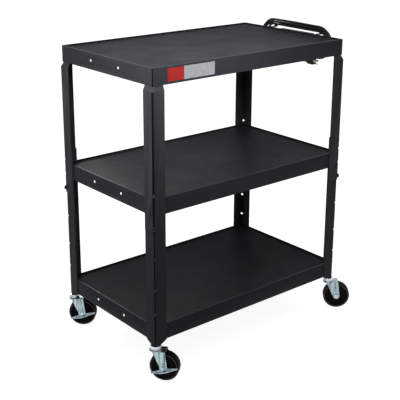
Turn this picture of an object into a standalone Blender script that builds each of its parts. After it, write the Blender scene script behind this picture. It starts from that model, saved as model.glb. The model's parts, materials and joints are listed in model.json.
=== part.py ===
"""An audio visual cart: three pan shelves on telescoping angle legs with four swivel casters,
an outlet unit and a wound power cord. Metres, Z up. The front faces -Y and the long side runs along X."""

import math

import bmesh
import bpy
from mathutils import Matrix, Vector

# Overall sizes, over the outer faces of the upper legs and from the floor.
FRAME_WIDTH = 0.8128
FRAME_DEPTH = 0.496
TOP_HEIGHT = 0.990
MIDDLE_HEIGHT = 0.5955

# Clearances between pieces that touch, and how far a cutter runs past what it cuts.
FIT_GAP = 0.0003
RUN_GAP = 0.00035
CUT_OVERRUN = 0.003

# Pan shelves.
SHEET_THICKNESS = 0.0015
APRON_DEPTH = 0.054
LIP_THICKNESS = 0.0035
LIP_RISE = 0.006
SHELF_CORNER_RADIUS = 0.003
END_HOLE_SPACING = 0.148
END_HOLE_DROP = 0.0255
CORNER_HOLE_RADIUS = 0.0028

# Angle legs.
LEG_WALL = 0.002
LEG_FACE = 0.0445
LEG_CREASE_RADIUS = 0.0007
UPPER_LEG_BELOW_BOLT = 0.0140
LOWER_LEG_ABOVE_BOLT = 0.1314
FOOT_BELOW_APRON = 0.011
JOGGLE_HEIGHT = 0.014
JOGGLE_DROP = 0.001
FOOT_FACE = 0.025
FOOT_TAPER_HEIGHT = 0.010
PAD_THICKNESS = 0.009
PAD_WIDTH = 0.0195
PAD_CHAMFER = 0.008
PAD_BITE = 0.001

# Holes down the crease of each leg, and the height bolts in them.
BOLT_BELOW_MIDDLE = 0.0899
HOLE_PITCH = 0.0508
LAST_HOLE_ABOVE_LOWER = 0.0418
UPPER_HOLE_STEPS = (0, 1, 2)
LOWER_HOLE_STEPS = (-4, -2, 0, 2)
CORNER_HOLE_STEPS = 1
BOLT_RADIUS = 0.0037
BOLT_HOLE_GAP = 0.0006
BOLT_HEAD_RADIUS = 0.0080
BOLT_HEAD_HEIGHT = 0.0052
BOLT_TAIL = 0.0025
NUT_FLATS = 0.013
NUT_HEIGHT = 0.006

# Casters.
STEM_CLEARANCE = 0.00165
STEM_RADIUS = 0.00475
HEAD_RADIUS = 0.018
HEAD_HEIGHT = 0.0124
HEAD_EDGE = 0.0025
KINGPIN_RADIUS = 0.006
RIVET_RADIUS = 0.009
RIVET_HEIGHT = 0.0025
WHEEL_RADIUS = 0.0475
WHEEL_WIDTH = 0.030
WHEEL_SHOULDER = 0.003
WHEEL_RIM_INSET = 0.0095
WHEEL_DISH = 0.0018
WHEEL_TOP_GAP = 0.0035
HUB_RADIUS = 0.0105
HUB_PROUD = 0.002
TRAIL = 0.0295
FORK_WALL = 0.0025
FORK_SIDE_GAP = 0.0005
FORK_NOSE = 0.019
FORK_CORNER_RADIUS = 0.012
FORK_BACK = 0.034
FORK_END_RADIUS = 0.0115
AXLE_RADIUS = 0.004
AXLE_HEAD_HEIGHT = 0.0053
AXLE_TAIL = 0.002
AXLE_NUT_HEIGHT = 0.0065

# Brake levers.
LEVER_SHEET = 0.002
LEVER_EYE_RADIUS = 0.0125
LEVER_SHELF_DROP = 0.0105
LEVER_REACH = 0.0255
LEVER_TIP_REACH = 0.0065
LEVER_WING = 0.046
LEVER_BITE = 0.0005
LEVER_WEB_RISE = 0.0045
LEVER_TILT = math.radians(16)

# Headings of the trailing wheels, from +X.
FRONT_LEFT_HEADING = math.radians(-53)
REAR_LEFT_HEADING = math.radians(-44)
FRONT_RIGHT_HEADING = math.radians(-43)
REAR_RIGHT_HEADING = math.radians(-38)

# Sticker on the front apron.
STICKER_LEFT = 0.0600
STICKER_WIDTH = 0.1775
STICKER_DROP = 0.0072
STICKER_MARGIN = 0.0073
STICKER_THICKNESS = 0.0004
STICKER_GAP = 0.0001

# Outlet unit on the right apron.
HOUSING_END_MARGIN = 0.006
HOUSING_HEIGHT = 0.045
HOUSING_DEPTH = 0.031
HOUSING_WALL = 0.002
HOUSING_DROP = 0.0045
HOUSING_CORNER_RADIUS = 0.003
FACEPLATE_THICKNESS = 0.002
RECEPTACLE_COUNT = 3
RECEPTACLE_WIDTH = 0.034
RECEPTACLE_HEIGHT = 0.0285
RECEPTACLE_DEPTH = 0.018
RECEPTACLE_RADIUS = 0.006
RECEPTACLE_PROUD = 0.0006
SLOT_WIDTH = 0.0022
SLOT_HEIGHT = 0.0078
SLOT_SPACING = 0.0127
SLOT_DEPTH = 0.012
SLOT_RISE = 0.0035
GROUND_RADIUS = 0.0025
GROUND_DROP = 0.0075
SCREW_RADIUS = 0.003
SCREW_HEAD_RADIUS = 0.0055
SCREW_HEAD_HEIGHT = 0.0028
SCREW_LENGTH = 0.0075

# Cord wrap brackets.
WRAP_SHEET = 0.002
WRAP_WIDTH = 0.016
WRAP_SETBACK = 0.005
WRAP_TIP = 0.008
WRAP_CORD_GAP = 0.0010
WRAP_TIP_GAP = 0.0014

# Cord, its hank and its gland.
CORD_DIAMETER = 0.0076
STRAND_GAP = 0.0006
LAYER_GAP = 0.0010
HANK_WEB_GAP = 0.0007
HANK_FRONT_CLEARANCE = 0.047
HANK_BACK_CLEARANCE = 0.026
HANK_TOP_RISE = 0.031
HANK_HEIGHT = 0.121
HANK_REVERSAL_TURNS = 2.625
HANK_TURNS = 4.75
BEND_STEPS = 9
RUN_STEPS = 3
GLAND_RADIUS = 0.0078
GLAND_NECK_RADIUS = 0.0066
GLAND_TIP_WALL = 0.0009
GLAND_LENGTH = 0.020
GLAND_COLLAR = 0.003
GLAND_DROP = 0.0102
GLAND_APRON_GAP = 0.0028

# Plug, lying level below the hank with its blades to the front.
PLUG_SETBACK = 0.151
PLUG_HANK_GAP = 0.00175
PLUG_LENGTH = 0.046
PLUG_HEIGHT = 0.0225
PLUG_WIDTH = 0.026
PLUG_NECK_RADIUS = 0.0062
BLADE_LENGTH = 0.0165
BLADE_WIDTH = 0.0063
BLADE_THICKNESS = 0.0015
BLADE_SPACING = 0.0127
BLADE_RISE = 0.0035
PIN_RADIUS = 0.0024
PIN_LENGTH = 0.0190
PIN_DROP = 0.0065

# How square the plug's sections are: a power of 2 is round.
ROUND_POWER = 2
WAIST_POWER = 2.6
GRIP_POWER = 3.4

# Places worked out from the sizes above.
BOLT_HEIGHT = MIDDLE_HEIGHT - BOLT_BELOW_MIDDLE
UPPER_LEG_FOOT_HEIGHT = BOLT_HEIGHT - UPPER_LEG_BELOW_BOLT
LOWER_LEG_TOP_HEIGHT = BOLT_HEIGHT + LOWER_LEG_ABOVE_BOLT
WHEEL_TOP = WHEEL_RADIUS + WHEEL_RADIUS
FORK_CROWN_BOTTOM = WHEEL_TOP + WHEEL_TOP_GAP
HEAD_BOTTOM = FORK_CROWN_BOTTOM + FORK_WALL + FIT_GAP
LOWER_LEG_FOOT_HEIGHT = HEAD_BOTTOM + HEAD_HEIGHT + FIT_GAP
LOWER_HEIGHT = LOWER_LEG_FOOT_HEIGHT + FOOT_BELOW_APRON + APRON_DEPTH
LAST_HOLE_HEIGHT = LOWER_HEIGHT + LAST_HOLE_ABOVE_LOWER
CREASE_HOLE_RADIUS = BOLT_RADIUS + BOLT_HOLE_GAP
END_HOLE_RADIUS = SCREW_RADIUS + FIT_GAP
LOWER_LEG_INSET = LEG_WALL + FIT_GAP
STEM_INSET = LOWER_LEG_INSET + LEG_WALL + STEM_CLEARANCE + STEM_RADIUS
SHELF_INSET = LOWER_LEG_INSET + LEG_WALL + FIT_GAP
JOGGLE_INSET = SHELF_INSET + SHEET_THICKNESS + FIT_GAP
LOWER_LEG_BEND_RADIUS = LEG_CREASE_RADIUS + LEG_WALL
LEG_BEND_RADIUS = LOWER_LEG_BEND_RADIUS + FIT_GAP + LEG_WALL
HUB_LENGTH = WHEEL_WIDTH + HUB_PROUD + HUB_PROUD
STICKER_HEIGHT = APRON_DEPTH - STICKER_DROP - STICKER_MARGIN
APRON_OUTSIDE = FRAME_WIDTH - SHELF_INSET
CORD_RADIUS = CORD_DIAMETER / 2
STRAND_PITCH = CORD_DIAMETER + STRAND_GAP
WRAP_BACK = APRON_OUTSIDE + FIT_GAP
HANK_INNER_LAYER = WRAP_BACK + WRAP_SHEET + HANK_WEB_GAP + CORD_RADIUS
HANK_OUTER_LAYER = HANK_INNER_LAYER + CORD_DIAMETER + LAYER_GAP
HANK_MIDDLE_HEIGHT = TOP_HEIGHT + HANK_TOP_RISE - HANK_HEIGHT / 2
HANK_LARGEST_RADIUS = HANK_HEIGHT / 2 - CORD_RADIUS
HANK_START_RADIUS = HANK_LARGEST_RADIUS - STRAND_PITCH * HANK_REVERSAL_TURNS
HOUSING_BACK = APRON_OUTSIDE + FIT_GAP
HOUSING_FACE = HOUSING_BACK + HOUSING_DEPTH
HOUSING_TOP = TOP_HEIGHT - HOUSING_DROP
HOUSING_LENGTH = END_HOLE_SPACING + HOUSING_END_MARGIN + HOUSING_END_MARGIN
HOUSING_FRONT_END = (FRAME_DEPTH - HOUSING_LENGTH) / 2
HOUSING_BACK_END = (FRAME_DEPTH + HOUSING_LENGTH) / 2
RECEPTACLE_PITCH = HOUSING_LENGTH / RECEPTACLE_COUNT
HANK_FRONT = HOUSING_FRONT_END - HANK_FRONT_CLEARANCE
HANK_BACK = HOUSING_BACK_END + HANK_BACK_CLEARANCE
GLAND_X = APRON_OUTSIDE + GLAND_APRON_GAP + GLAND_RADIUS
GLAND_HEIGHT = HOUSING_TOP - GLAND_DROP
PLUG_X = HANK_OUTER_LAYER + CORD_DIAMETER + LAYER_GAP
PLUG_BACK = HANK_BACK - PLUG_SETBACK
PLUG_AXIS_HEIGHT = HANK_MIDDLE_HEIGHT - HANK_HEIGHT / 2 - PLUG_HANK_GAP - PLUG_HEIGHT / 2
DIAGONAL = math.sqrt(2)

# Looks: base colour, metallic and roughness.
BLACK_PAINT = ((0.030, 0.031, 0.034), 0.0, 0.42)
ZINC = ((0.62, 0.66, 0.70), 1.0, 0.32)
BLACK_OXIDE = ((0.014, 0.014, 0.016), 0.0, 0.28)
WHEEL_RUBBER = ((0.018, 0.016, 0.018), 0.0, 0.60)
CORD_JACKET = ((0.012, 0.012, 0.013), 0.0, 0.50)
BLACK_MOULDING = ((0.015, 0.015, 0.016), 0.0, 0.38)
NICKEL = ((0.70, 0.69, 0.66), 1.0, 0.25)
STICKER_RED = ((0.55, 0.03, 0.03), 0.0, 0.45)

# Steps in a quarter bend, and sides of a full circle for holes and for small and large round pieces.
QUARTER_STEPS = 4
HOLE_SIDES = 12
SMALL_SIDES = 16
ROUND_SIDES = 20
WHEEL_SIDES = 32
HEX_SIDES = 6
NUT_SIDE_STEPS = 2


class Solid:
    """Points and faces of one or more closed shells."""

    def __init__(self):
        self.points = []
        self.faces = []

    def loft(self, rings):
        """A shell through rings with equal counts, closed by a flat face at each end."""
        first = len(self.points)
        count = len(rings[0])
        self.skin(rings)
        last = len(self.points) - count
        self.faces.append(tuple(first + i for i in range(count)))
        self.faces.append(tuple(last + i for i in range(count)))
        return self

    def hoop(self, rings):
        """A shell through rings that ends where it starts."""
        self.skin(rings + rings[:1])
        return self

    def skin(self, rings):
        count = len(rings[0])
        for ring in rings:
            self.points.extend(Vector(point) for point in ring)
        start = len(self.points) - count * len(rings)
        for row in range(start, len(self.points) - count, count):
            for i in range(count):
                after = (i + 1) % count
                self.faces.append((row + i, row + after, row + count + after, row + count + i))

    def box(self, low, high):
        outline = rectangle(low[0], low[1], high[0], high[1])
        return self.loft([at_height(outline, low[2]), at_height(outline, high[2])])

    def rod(self, start, end, radius, sides=HOLE_SIDES):
        """A round bar between two points, its corners half a step off the upright."""
        start = Vector(start)
        end = Vector(end)
        profile = [(radius, 0), (radius, (end - start).length)]
        return self.turned(start, end - start, profile, sides, math.pi / sides)

    def turned(self, origin, axis, profile, sides=ROUND_SIDES, spin=0.0):
        """A solid of revolution, its profile given as radius and distance along the axis."""
        return self.loft(circles(origin, axis, profile, sides, spin))

    def moved(self, change):
        self.points = [Vector(change(point)) for point in self.points]
        return self


def circles(origin, axis, profile, sides, spin=0.0):
    axis = Vector(axis).normalized()
    across = axis.orthogonal().normalized()
    if abs(axis.z) < abs(axis.x) + abs(axis.y):
        across = Vector((0, 0, 1))
    aside = axis.cross(across)
    rings = []
    for radius, along in profile:
        ring = []
        for i in range(sides):
            angle = spin + math.tau * i / sides
            out = across * math.cos(angle) + aside * math.sin(angle)
            ring.append(Vector(origin) + axis * along + out * radius)
        rings.append(ring)
    return rings


def arc(centre, radius, start, end, steps=QUARTER_STEPS):
    """Points of an arc in a plane, its angles in degrees."""
    points = []
    for i in range(steps + 1):
        angle = math.radians(start + (end - start) * i / steps)
        points.append((centre[0] + radius * math.cos(angle), centre[1] + radius * math.sin(angle)))
    return points


def rectangle(left, bottom, right, top):
    return [(left, bottom), (right, bottom), (right, top), (left, top)]


def round_rectangle(left, bottom, right, top, radius):
    return (
        arc((left + radius, bottom + radius), radius, 180, 270)
        + arc((right - radius, bottom + radius), radius, 270, 360)
        + arc((right - radius, top - radius), radius, 0, 90)
        + arc((left + radius, top - radius), radius, 90, 180)
    )


def at_height(outline, height):
    return [(x, y, height) for x, y in outline]


def at_x(outline, x):
    return [(x, y, z) for y, z in outline]


def at_y(outline, y):
    return [(x, y, z) for x, z in outline]


def clear_scene():
    for obj in list(bpy.data.objects):
        bpy.data.objects.remove(obj)


def empty(name, parent, place=(0, 0, 0), heading=0.0):
    holder = bpy.data.objects.new(name, None)
    bpy.context.collection.objects.link(holder)
    holder.parent = parent
    holder.location = place
    holder.rotation_euler = (0, 0, heading)
    return holder


def paint(obj, look):
    """Gives an object its own material, from a base colour, metallic and roughness."""
    colour, metallic, roughness = look
    made = bpy.data.materials.new(obj.name)
    made.use_nodes = True
    shader = made.node_tree.nodes["Principled BSDF"]
    shader.inputs["Base Color"].default_value = (*colour, 1)
    shader.inputs["Metallic"].default_value = metallic
    shader.inputs["Roughness"].default_value = roughness
    obj.data.materials.append(made)


def make(name, solid, parent, look, smooth_angle=None):
    """An object from the shells of a solid. Faces that meet below the angle in degrees shade smooth."""
    mesh = bpy.data.meshes.new(name)
    mesh.from_pydata(solid.points, [], solid.faces)
    work = bmesh.new()
    work.from_mesh(mesh)
    bmesh.ops.recalc_face_normals(work, faces=work.faces)
    if smooth_angle:
        for face in work.faces:
            face.smooth = True
        for edge in work.edges:
            edge.smooth = edge.calc_face_angle(0) < math.radians(smooth_angle)
    work.to_mesh(mesh)
    work.free()
    obj = bpy.data.objects.new(name, mesh)
    bpy.context.collection.objects.link(obj)
    obj.parent = parent
    if look:
        paint(obj, look)
    return obj


def combine(obj, solid, operation, label):
    """Adds a Boolean of an object with a hidden helper made from a solid."""
    helper = make(f"{obj.name}_{label}", solid, obj.parent, None)
    helper.location = obj.location
    helper.rotation_euler = obj.rotation_euler
    helper.hide_render = True
    helper.display_type = "WIRE"
    change = obj.modifiers.new(label, "BOOLEAN")
    change.operation = operation
    change.solver = "EXACT"
    change.object = helper
    return obj


def cut(obj, solid, label="cutter"):
    return combine(obj, solid, "DIFFERENCE", label)


# Pan shelves.


def make_shelf(name, top, cart, corner_holes=False):
    """A pan with a lip round its top and an apron round its underside, in one sheet."""
    right = FRAME_WIDTH - SHELF_INSET
    back = FRAME_DEPTH - SHELF_INSET
    bottom = top - APRON_DEPTH
    deck = top - LIP_RISE

    def ring(inset, height):
        radius = max(SHELF_CORNER_RADIUS - inset, FIT_GAP)
        start = SHELF_INSET + inset
        return at_height(round_rectangle(start, start, right - inset, back - inset, radius), height)

    pan = Solid().loft([
        ring(SHEET_THICKNESS, deck - SHEET_THICKNESS),
        ring(SHEET_THICKNESS, bottom),
        ring(0, bottom),
        ring(0, top),
        ring(LIP_THICKNESS, top),
        ring(LIP_THICKNESS, deck),
    ])
    shelf = make(name, pan, cart, BLACK_PAINT)
    holes = Solid()
    for apron in (SHELF_INSET, right - SHEET_THICKNESS):
        for side in (-1, 1):
            y = (FRAME_DEPTH + side * END_HOLE_SPACING) / 2
            z = top - END_HOLE_DROP
            holes.rod(
                (apron - CUT_OVERRUN, y, z),
                (apron + SHEET_THICKNESS + CUT_OVERRUN, y, z),
                END_HOLE_RADIUS,
            )
    if corner_holes:
        for right_side, back_side in CORNERS:
            height = BOLT_HEIGHT + HOLE_PITCH * CORNER_HOLE_STEPS
            hole = crease_hole(height, CORNER_HOLE_RADIUS, SHELF_INSET, SHEET_THICKNESS)
            hole.moved(lambda point: to_corner(point, right_side, back_side))
            holes.points, holes.faces = joined(holes, hole)
    return cut(shelf, holes, "holes")


def joined(first, second):
    shift = len(first.points)
    faces = [tuple(i + shift for i in face) for face in second.faces]
    return first.points + second.points, first.faces + faces


# Legs. Each is drawn at the front left corner and mirrored to its own.

CORNERS = ((False, False), (True, False), (False, True), (True, True))
CORNER_NAMES = {
    (False, False): "front_left",
    (True, False): "front_right",
    (False, True): "rear_left",
    (True, True): "rear_right",
}


def to_corner(point, right_side, back_side):
    x = FRAME_WIDTH - point[0] if right_side else point[0]
    y = FRAME_DEPTH - point[1] if back_side else point[1]
    return (x, y, point[2])


def angle_section(inset, edge, bend, height):
    """The outline of an angle: its outer faces at the inset, both flanges ending at the edge."""
    centre = inset + bend
    inner = inset + LEG_WALL
    outline = (
        [(edge, inset), (edge, inner)]
        + arc((centre, centre), bend - LEG_WALL, 270, 180)
        + [(inner, edge), (inset, edge)]
        + arc((centre, centre), bend, 180, 270)
    )
    return at_height(outline, height)


def crease_hole(height, radius, inset, wall):
    """A cutter through the crease of an angle, square to it."""
    deep = (inset + wall) * DIAGONAL + radius + CUT_OVERRUN
    reach = deep / DIAGONAL
    shallow = (inset - CUT_OVERRUN) / DIAGONAL
    return Solid().rod((shallow, shallow, height), (reach, reach, height), radius)


def make_upper_leg(corner, cart):
    apron_bottom = TOP_HEIGHT - APRON_DEPTH
    joggle_top = apron_bottom - JOGGLE_DROP
    leg_top = TOP_HEIGHT - LIP_RISE - SHEET_THICKNESS - FIT_GAP
    leg = Solid().loft([
        angle_section(0, LEG_FACE, LEG_BEND_RADIUS, UPPER_LEG_FOOT_HEIGHT),
        angle_section(0, LEG_FACE, LEG_BEND_RADIUS, joggle_top - JOGGLE_HEIGHT),
        angle_section(JOGGLE_INSET, LEG_FACE, LEG_BEND_RADIUS, joggle_top),
        angle_section(JOGGLE_INSET, LEG_FACE, LEG_BEND_RADIUS, leg_top),
    ])
    leg.moved(lambda point: to_corner(point, *corner))
    obj = make(f"upper_leg_{CORNER_NAMES[corner]}", leg, cart, BLACK_PAINT)
    heights = [BOLT_HEIGHT + HOLE_PITCH * step for step in UPPER_HOLE_STEPS]
    return cut(obj, leg_holes(corner, heights, 0), "holes")


def leg_holes(corner, heights, inset):
    holes = Solid()
    for height in heights:
        hole = crease_hole(height, CREASE_HOLE_RADIUS, inset, LEG_WALL)
        holes.points, holes.faces = joined(holes, hole)
    return holes.moved(lambda point: to_corner(point, *corner))


def make_lower_leg(corner, cart):
    """The lower angle, tapered at its foot, with a thick pad for the caster stem."""
    edge = LOWER_LEG_INSET + LEG_FACE
    foot_edge = LOWER_LEG_INSET + FOOT_FACE
    foot = LOWER_LEG_FOOT_HEIGHT
    bend = LOWER_LEG_BEND_RADIUS
    leg = Solid().loft([
        angle_section(LOWER_LEG_INSET, foot_edge, bend, foot),
        angle_section(LOWER_LEG_INSET, edge, bend, foot + FOOT_TAPER_HEIGHT),
        angle_section(LOWER_LEG_INSET, edge, bend, LOWER_LEG_TOP_HEIGHT),
    ])
    near = LOWER_LEG_INSET + LEG_WALL - PAD_BITE
    far = near + PAD_WIDTH
    outline = [
        (near, near),
        (far, near),
        (far, far - PAD_CHAMFER),
        (far - PAD_CHAMFER, far),
        (near, far),
    ]
    bottom = foot + FIT_GAP
    pad = Solid().loft([at_height(outline, bottom), at_height(outline, bottom + PAD_THICKNESS)])
    bore = Solid().rod(
        (STEM_INSET, STEM_INSET, foot - CUT_OVERRUN),
        (STEM_INSET, STEM_INSET, bottom + PAD_THICKNESS + CUT_OVERRUN),
        STEM_RADIUS + FIT_GAP,
    )
    for solid in (leg, pad, bore):
        solid.moved(lambda point: to_corner(point, *corner))
    obj = make(f"lower_leg_{CORNER_NAMES[corner]}", leg, cart, BLACK_PAINT)
    combine(obj, pad, "UNION", "pad")
    heights = [BOLT_HEIGHT + HOLE_PITCH * step for step in LOWER_HOLE_STEPS] + [LAST_HOLE_HEIGHT]
    cut(obj, leg_holes(corner, heights, LOWER_LEG_INSET), "holes")
    height = BOLT_HEIGHT + HOLE_PITCH * CORNER_HOLE_STEPS
    small = crease_hole(height, CORNER_HOLE_RADIUS, LOWER_LEG_INSET, LEG_WALL)
    small.moved(lambda point: to_corner(point, *corner))
    cut(obj, small, "screw_hole")
    return cut(obj, bore, "bore")


def make_height_bolt(corner, cart):
    """A round-headed bolt through both creases, and its nut inside the lower leg."""
    name = CORNER_NAMES[corner]
    inward = Vector((1, 1, 0)).normalized()
    origin = Vector((0, 0, BOLT_HEIGHT))
    head = LEG_BEND_RADIUS * (DIAGONAL - 1) - FIT_GAP
    crease = (LOWER_LEG_INSET + LEG_WALL) * DIAGONAL
    nut_face = crease + NUT_FLATS / 2 + FIT_GAP + FIT_GAP
    end = nut_face + NUT_HEIGHT + BOLT_TAIL
    crown_share = 0.55
    rim_share = 0.45
    bolt = Solid().turned(origin, inward, [
        (BOLT_HEAD_RADIUS * crown_share, head - BOLT_HEAD_HEIGHT),
        (BOLT_HEAD_RADIUS, head - BOLT_HEAD_HEIGHT * rim_share),
        (BOLT_HEAD_RADIUS, head),
        (BOLT_RADIUS, head),
        (BOLT_RADIUS, end),
    ], SMALL_SIDES)
    nut = hex_nut(origin, inward, nut_face, NUT_HEIGHT, NUT_FLATS, BOLT_RADIUS)
    for solid in (bolt, nut):
        solid.moved(lambda point: to_corner(point, *corner))
    make(f"height_bolt_{name}", bolt, cart, BLACK_OXIDE, 50)
    make(f"height_nut_{name}", nut, cart, BLACK_OXIDE)


def hex_nut(origin, axis, face, height, flats, bolt_radius):
    """A nut with two flats upright, and a clear round bore."""
    corner_radius = flats / math.sqrt(3)
    bore = bolt_radius + RUN_GAP
    outer = circles(origin, axis, [(corner_radius, face), (corner_radius, face + height)], HEX_SIDES)
    bore_sides = HEX_SIDES * NUT_SIDE_STEPS
    inner = circles(origin, axis, [(bore, face + height), (bore, face)], bore_sides)
    split = [in_steps(ring, NUT_SIDE_STEPS) for ring in outer]
    return Solid().hoop(split + inner)


def in_steps(ring, steps):
    """The same closed outline with each side split into equal steps."""
    split = []
    for i, point in enumerate(ring):
        after = ring[(i + 1) % len(ring)]
        for step in range(steps):
            split.append(point.lerp(after, step / steps))
    return split


# Casters. Each hangs on an empty at its swivel axis, turned so that +X trails.


def make_caster(corner, heading, cart, braked):
    name = CORNER_NAMES[corner]
    x, y, _ = to_corner((STEM_INSET, STEM_INSET, 0), *corner)
    make_caster_head(name, (x, y), cart)
    swivel = empty(f"swivel_{name}", cart, (x, y, 0), heading)
    axle = empty(f"axle_place_{name}", swivel, (TRAIL, 0, WHEEL_RADIUS))
    make_fork(name, swivel)
    make_wheel(name, axle)
    make_axle(name, axle, braked)
    if braked:
        make_lever(name, axle)


def make_caster_head(name, place, cart):
    """The stem, the bearing head and the kingpin riveted under the fork."""
    bottom = HEAD_BOTTOM
    top = LOWER_LEG_FOOT_HEIGHT - FIT_GAP
    crown_bottom = FORK_CROWN_BOTTOM
    stem_top = top + PAD_THICKNESS
    step_share = 0.80
    head = Solid().turned((*place, 0), (0, 0, 1), [
        (RIVET_RADIUS - HEAD_EDGE, crown_bottom - FIT_GAP - RIVET_HEIGHT),
        (RIVET_RADIUS, crown_bottom - FIT_GAP - RIVET_HEIGHT / 2),
        (RIVET_RADIUS, crown_bottom - FIT_GAP),
        (KINGPIN_RADIUS, crown_bottom - FIT_GAP),
        (KINGPIN_RADIUS, bottom),
        (HEAD_RADIUS * step_share, bottom),
        (HEAD_RADIUS, bottom + HEAD_EDGE),
        (HEAD_RADIUS, top - HEAD_EDGE),
        (HEAD_RADIUS - HEAD_EDGE, top),
        (STEM_RADIUS, top),
        (STEM_RADIUS, stem_top),
    ])
    make(f"caster_head_{name}", head, cart, ZINC, 50)


def make_fork(name, swivel):
    """A folded fork: a flat crown and two side plates that taper to the axle."""
    top = HEAD_BOTTOM - FIT_GAP
    crown_bottom = FORK_CROWN_BOTTOM
    inner = HUB_LENGTH / 2 + FORK_SIDE_GAP
    outer = inner + FORK_WALL
    shoulder = FORK_CORNER_RADIUS - FORK_NOSE
    profile = (
        [(-FORK_NOSE, top), (-FORK_NOSE, crown_bottom), (shoulder, crown_bottom)]
        + arc((TRAIL, WHEEL_RADIUS), FORK_END_RADIUS, 207, 362, QUARTER_STEPS * 2)
        + [(FORK_BACK, top)]
    )
    body = Solid().loft([at_y(profile, -outer), at_y(profile, outer)])
    fork = make(f"fork_{name}", body, swivel, ZINC)
    channel = Solid().box(
        (-FORK_NOSE - CUT_OVERRUN, -inner, 0),
        (FORK_BACK + FORK_NOSE, inner, crown_bottom),
    )
    cut(fork, channel, "channel")
    plan = (
        arc((shoulder, -outer + FORK_CORNER_RADIUS), FORK_CORNER_RADIUS, 180, 270)
        + [(FORK_BACK + FORK_NOSE, -outer - CUT_OVERRUN), (FORK_BACK + FORK_NOSE, outer + CUT_OVERRUN)]
        + arc((shoulder, outer - FORK_CORNER_RADIUS), FORK_CORNER_RADIUS, 90, 180)
    )
    keep = Solid().loft([at_height(plan, 0), at_height(plan, top + CUT_OVERRUN)])
    combine(fork, keep, "INTERSECT", "plan")
    holes = Solid()
    holes.rod((0, 0, crown_bottom - CUT_OVERRUN), (0, 0, top + CUT_OVERRUN), KINGPIN_RADIUS + RUN_GAP)
    for side in (-1, 1):
        holes.rod(
            (TRAIL, side * (inner - CUT_OVERRUN), WHEEL_RADIUS),
            (TRAIL, side * (outer + CUT_OVERRUN), WHEEL_RADIUS),
            AXLE_RADIUS + FIT_GAP,
        )
    return cut(fork, holes, "holes")


def make_wheel(name, axle):
    """A solid tyre with a dished face and a raised hub, bored for the axle."""
    half = WHEEL_WIDTH / 2
    hub = HUB_LENGTH / 2
    rim = WHEEL_RADIUS - WHEEL_RIM_INSET
    dish = half - WHEEL_DISH
    side = [
        (HUB_RADIUS, hub),
        (HUB_RADIUS + WHEEL_DISH, dish),
        (rim, dish),
        (rim + WHEEL_DISH, half),
        (WHEEL_RADIUS - WHEEL_SHOULDER, half),
        (WHEEL_RADIUS, half - WHEEL_SHOULDER),
    ]
    bore = AXLE_RADIUS + RUN_GAP
    profile = (
        [(bore, -hub)]
        + [(radius, -along) for radius, along in side]
        + list(reversed(side))
        + [(bore, hub)]
    )
    wheel = Solid().hoop(circles((0, 0, 0), (0, 1, 0), profile, WHEEL_SIDES))
    return make(f"wheel_{name}", wheel, axle, WHEEL_RUBBER, 40)


def make_axle(name, axle, braked):
    """The hex axle bolt, through the fork and the wheel, and its nut."""
    plate = HUB_LENGTH / 2 + FORK_SIDE_GAP + FORK_WALL
    head = plate + FIT_GAP
    if braked:
        head += LEVER_SHEET + FIT_GAP
    end = plate + FIT_GAP + AXLE_NUT_HEIGHT + AXLE_TAIL
    corner_radius = NUT_FLATS / math.sqrt(3)
    bolt = Solid().loft(
        circles((0, 0, 0), (0, 1, 0), [
            (corner_radius, -head - AXLE_HEAD_HEIGHT),
            (corner_radius, -head),
        ], HEX_SIDES)
    )
    obj = make(f"axle_bolt_{name}", bolt, axle, ZINC)
    shank = Solid().rod((0, -head - FIT_GAP, 0), (0, end, 0), AXLE_RADIUS, SMALL_SIDES)
    combine(obj, shank, "UNION", "shank")
    nut = hex_nut((0, 0, 0), (0, 1, 0), plate + FIT_GAP, AXLE_NUT_HEIGHT, NUT_FLATS, AXLE_RADIUS)
    make(f"axle_nut_{name}", nut, axle, ZINC)


def make_lever(name, axle):
    """A see-saw foot lever: a web round the axle bolt and a boat-shaped shelf along its foot."""
    face = -(HUB_LENGTH / 2 + FORK_SIDE_GAP + FORK_WALL + FIT_GAP)
    front = face - LEVER_SHEET
    foot = -LEVER_SHELF_DROP
    eye = LEVER_EYE_RADIUS
    tilt = Matrix.Rotation(-LEVER_TILT, 4, "Y")
    web_bottom = foot - LEVER_SHEET / 2
    low = foot + LEVER_WEB_RISE
    web_outline = (
        [(-LEVER_WING, web_bottom), (LEVER_WING, web_bottom), (LEVER_WING, low), (eye, low)]
        + arc((0, 0), eye, 0, 180, QUARTER_STEPS * 3)
        + [(-eye, low), (-LEVER_WING, low)]
    )
    web = Solid().loft([at_y(web_outline, face), at_y(web_outline, front)])
    shelf_outline = [(-LEVER_WING + LEVER_BITE, face - LEVER_BITE)]
    bow_steps = QUARTER_STEPS * 3
    for i in range(bow_steps + 1):
        share = 2 * i / bow_steps - 1
        reach = LEVER_TIP_REACH + (LEVER_REACH - LEVER_TIP_REACH) * (1 - share * share) ** 2
        shelf_outline.append((share * (LEVER_WING - LEVER_BITE), face - reach))
    shelf_outline.append((LEVER_WING - LEVER_BITE, face - LEVER_BITE))
    shelf = Solid().loft([at_height(shelf_outline, foot), at_height(shelf_outline, foot - LEVER_SHEET)])
    eye_hole = Solid().rod(
        (0, face + CUT_OVERRUN, 0), (0, front - CUT_OVERRUN, 0), AXLE_RADIUS + RUN_GAP
    )
    for solid in (web, shelf, eye_hole):
        solid.moved(lambda point: tilt @ point)
    lever = make(f"brake_lever_{name}", web, axle, ZINC)
    combine(lever, shelf, "UNION", "shelf")
    return cut(lever, eye_hole, "eye")


# Sticker, outlet unit and cord wrap.


def make_sticker(cart):
    back = SHELF_INSET - STICKER_GAP
    top = TOP_HEIGHT - STICKER_DROP
    sticker = Solid().box(
        (STICKER_LEFT, back - STICKER_THICKNESS, top - STICKER_HEIGHT),
        (STICKER_LEFT + STICKER_WIDTH, back, top),
    )
    return make("apron_sticker", sticker, cart, STICKER_RED)


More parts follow.
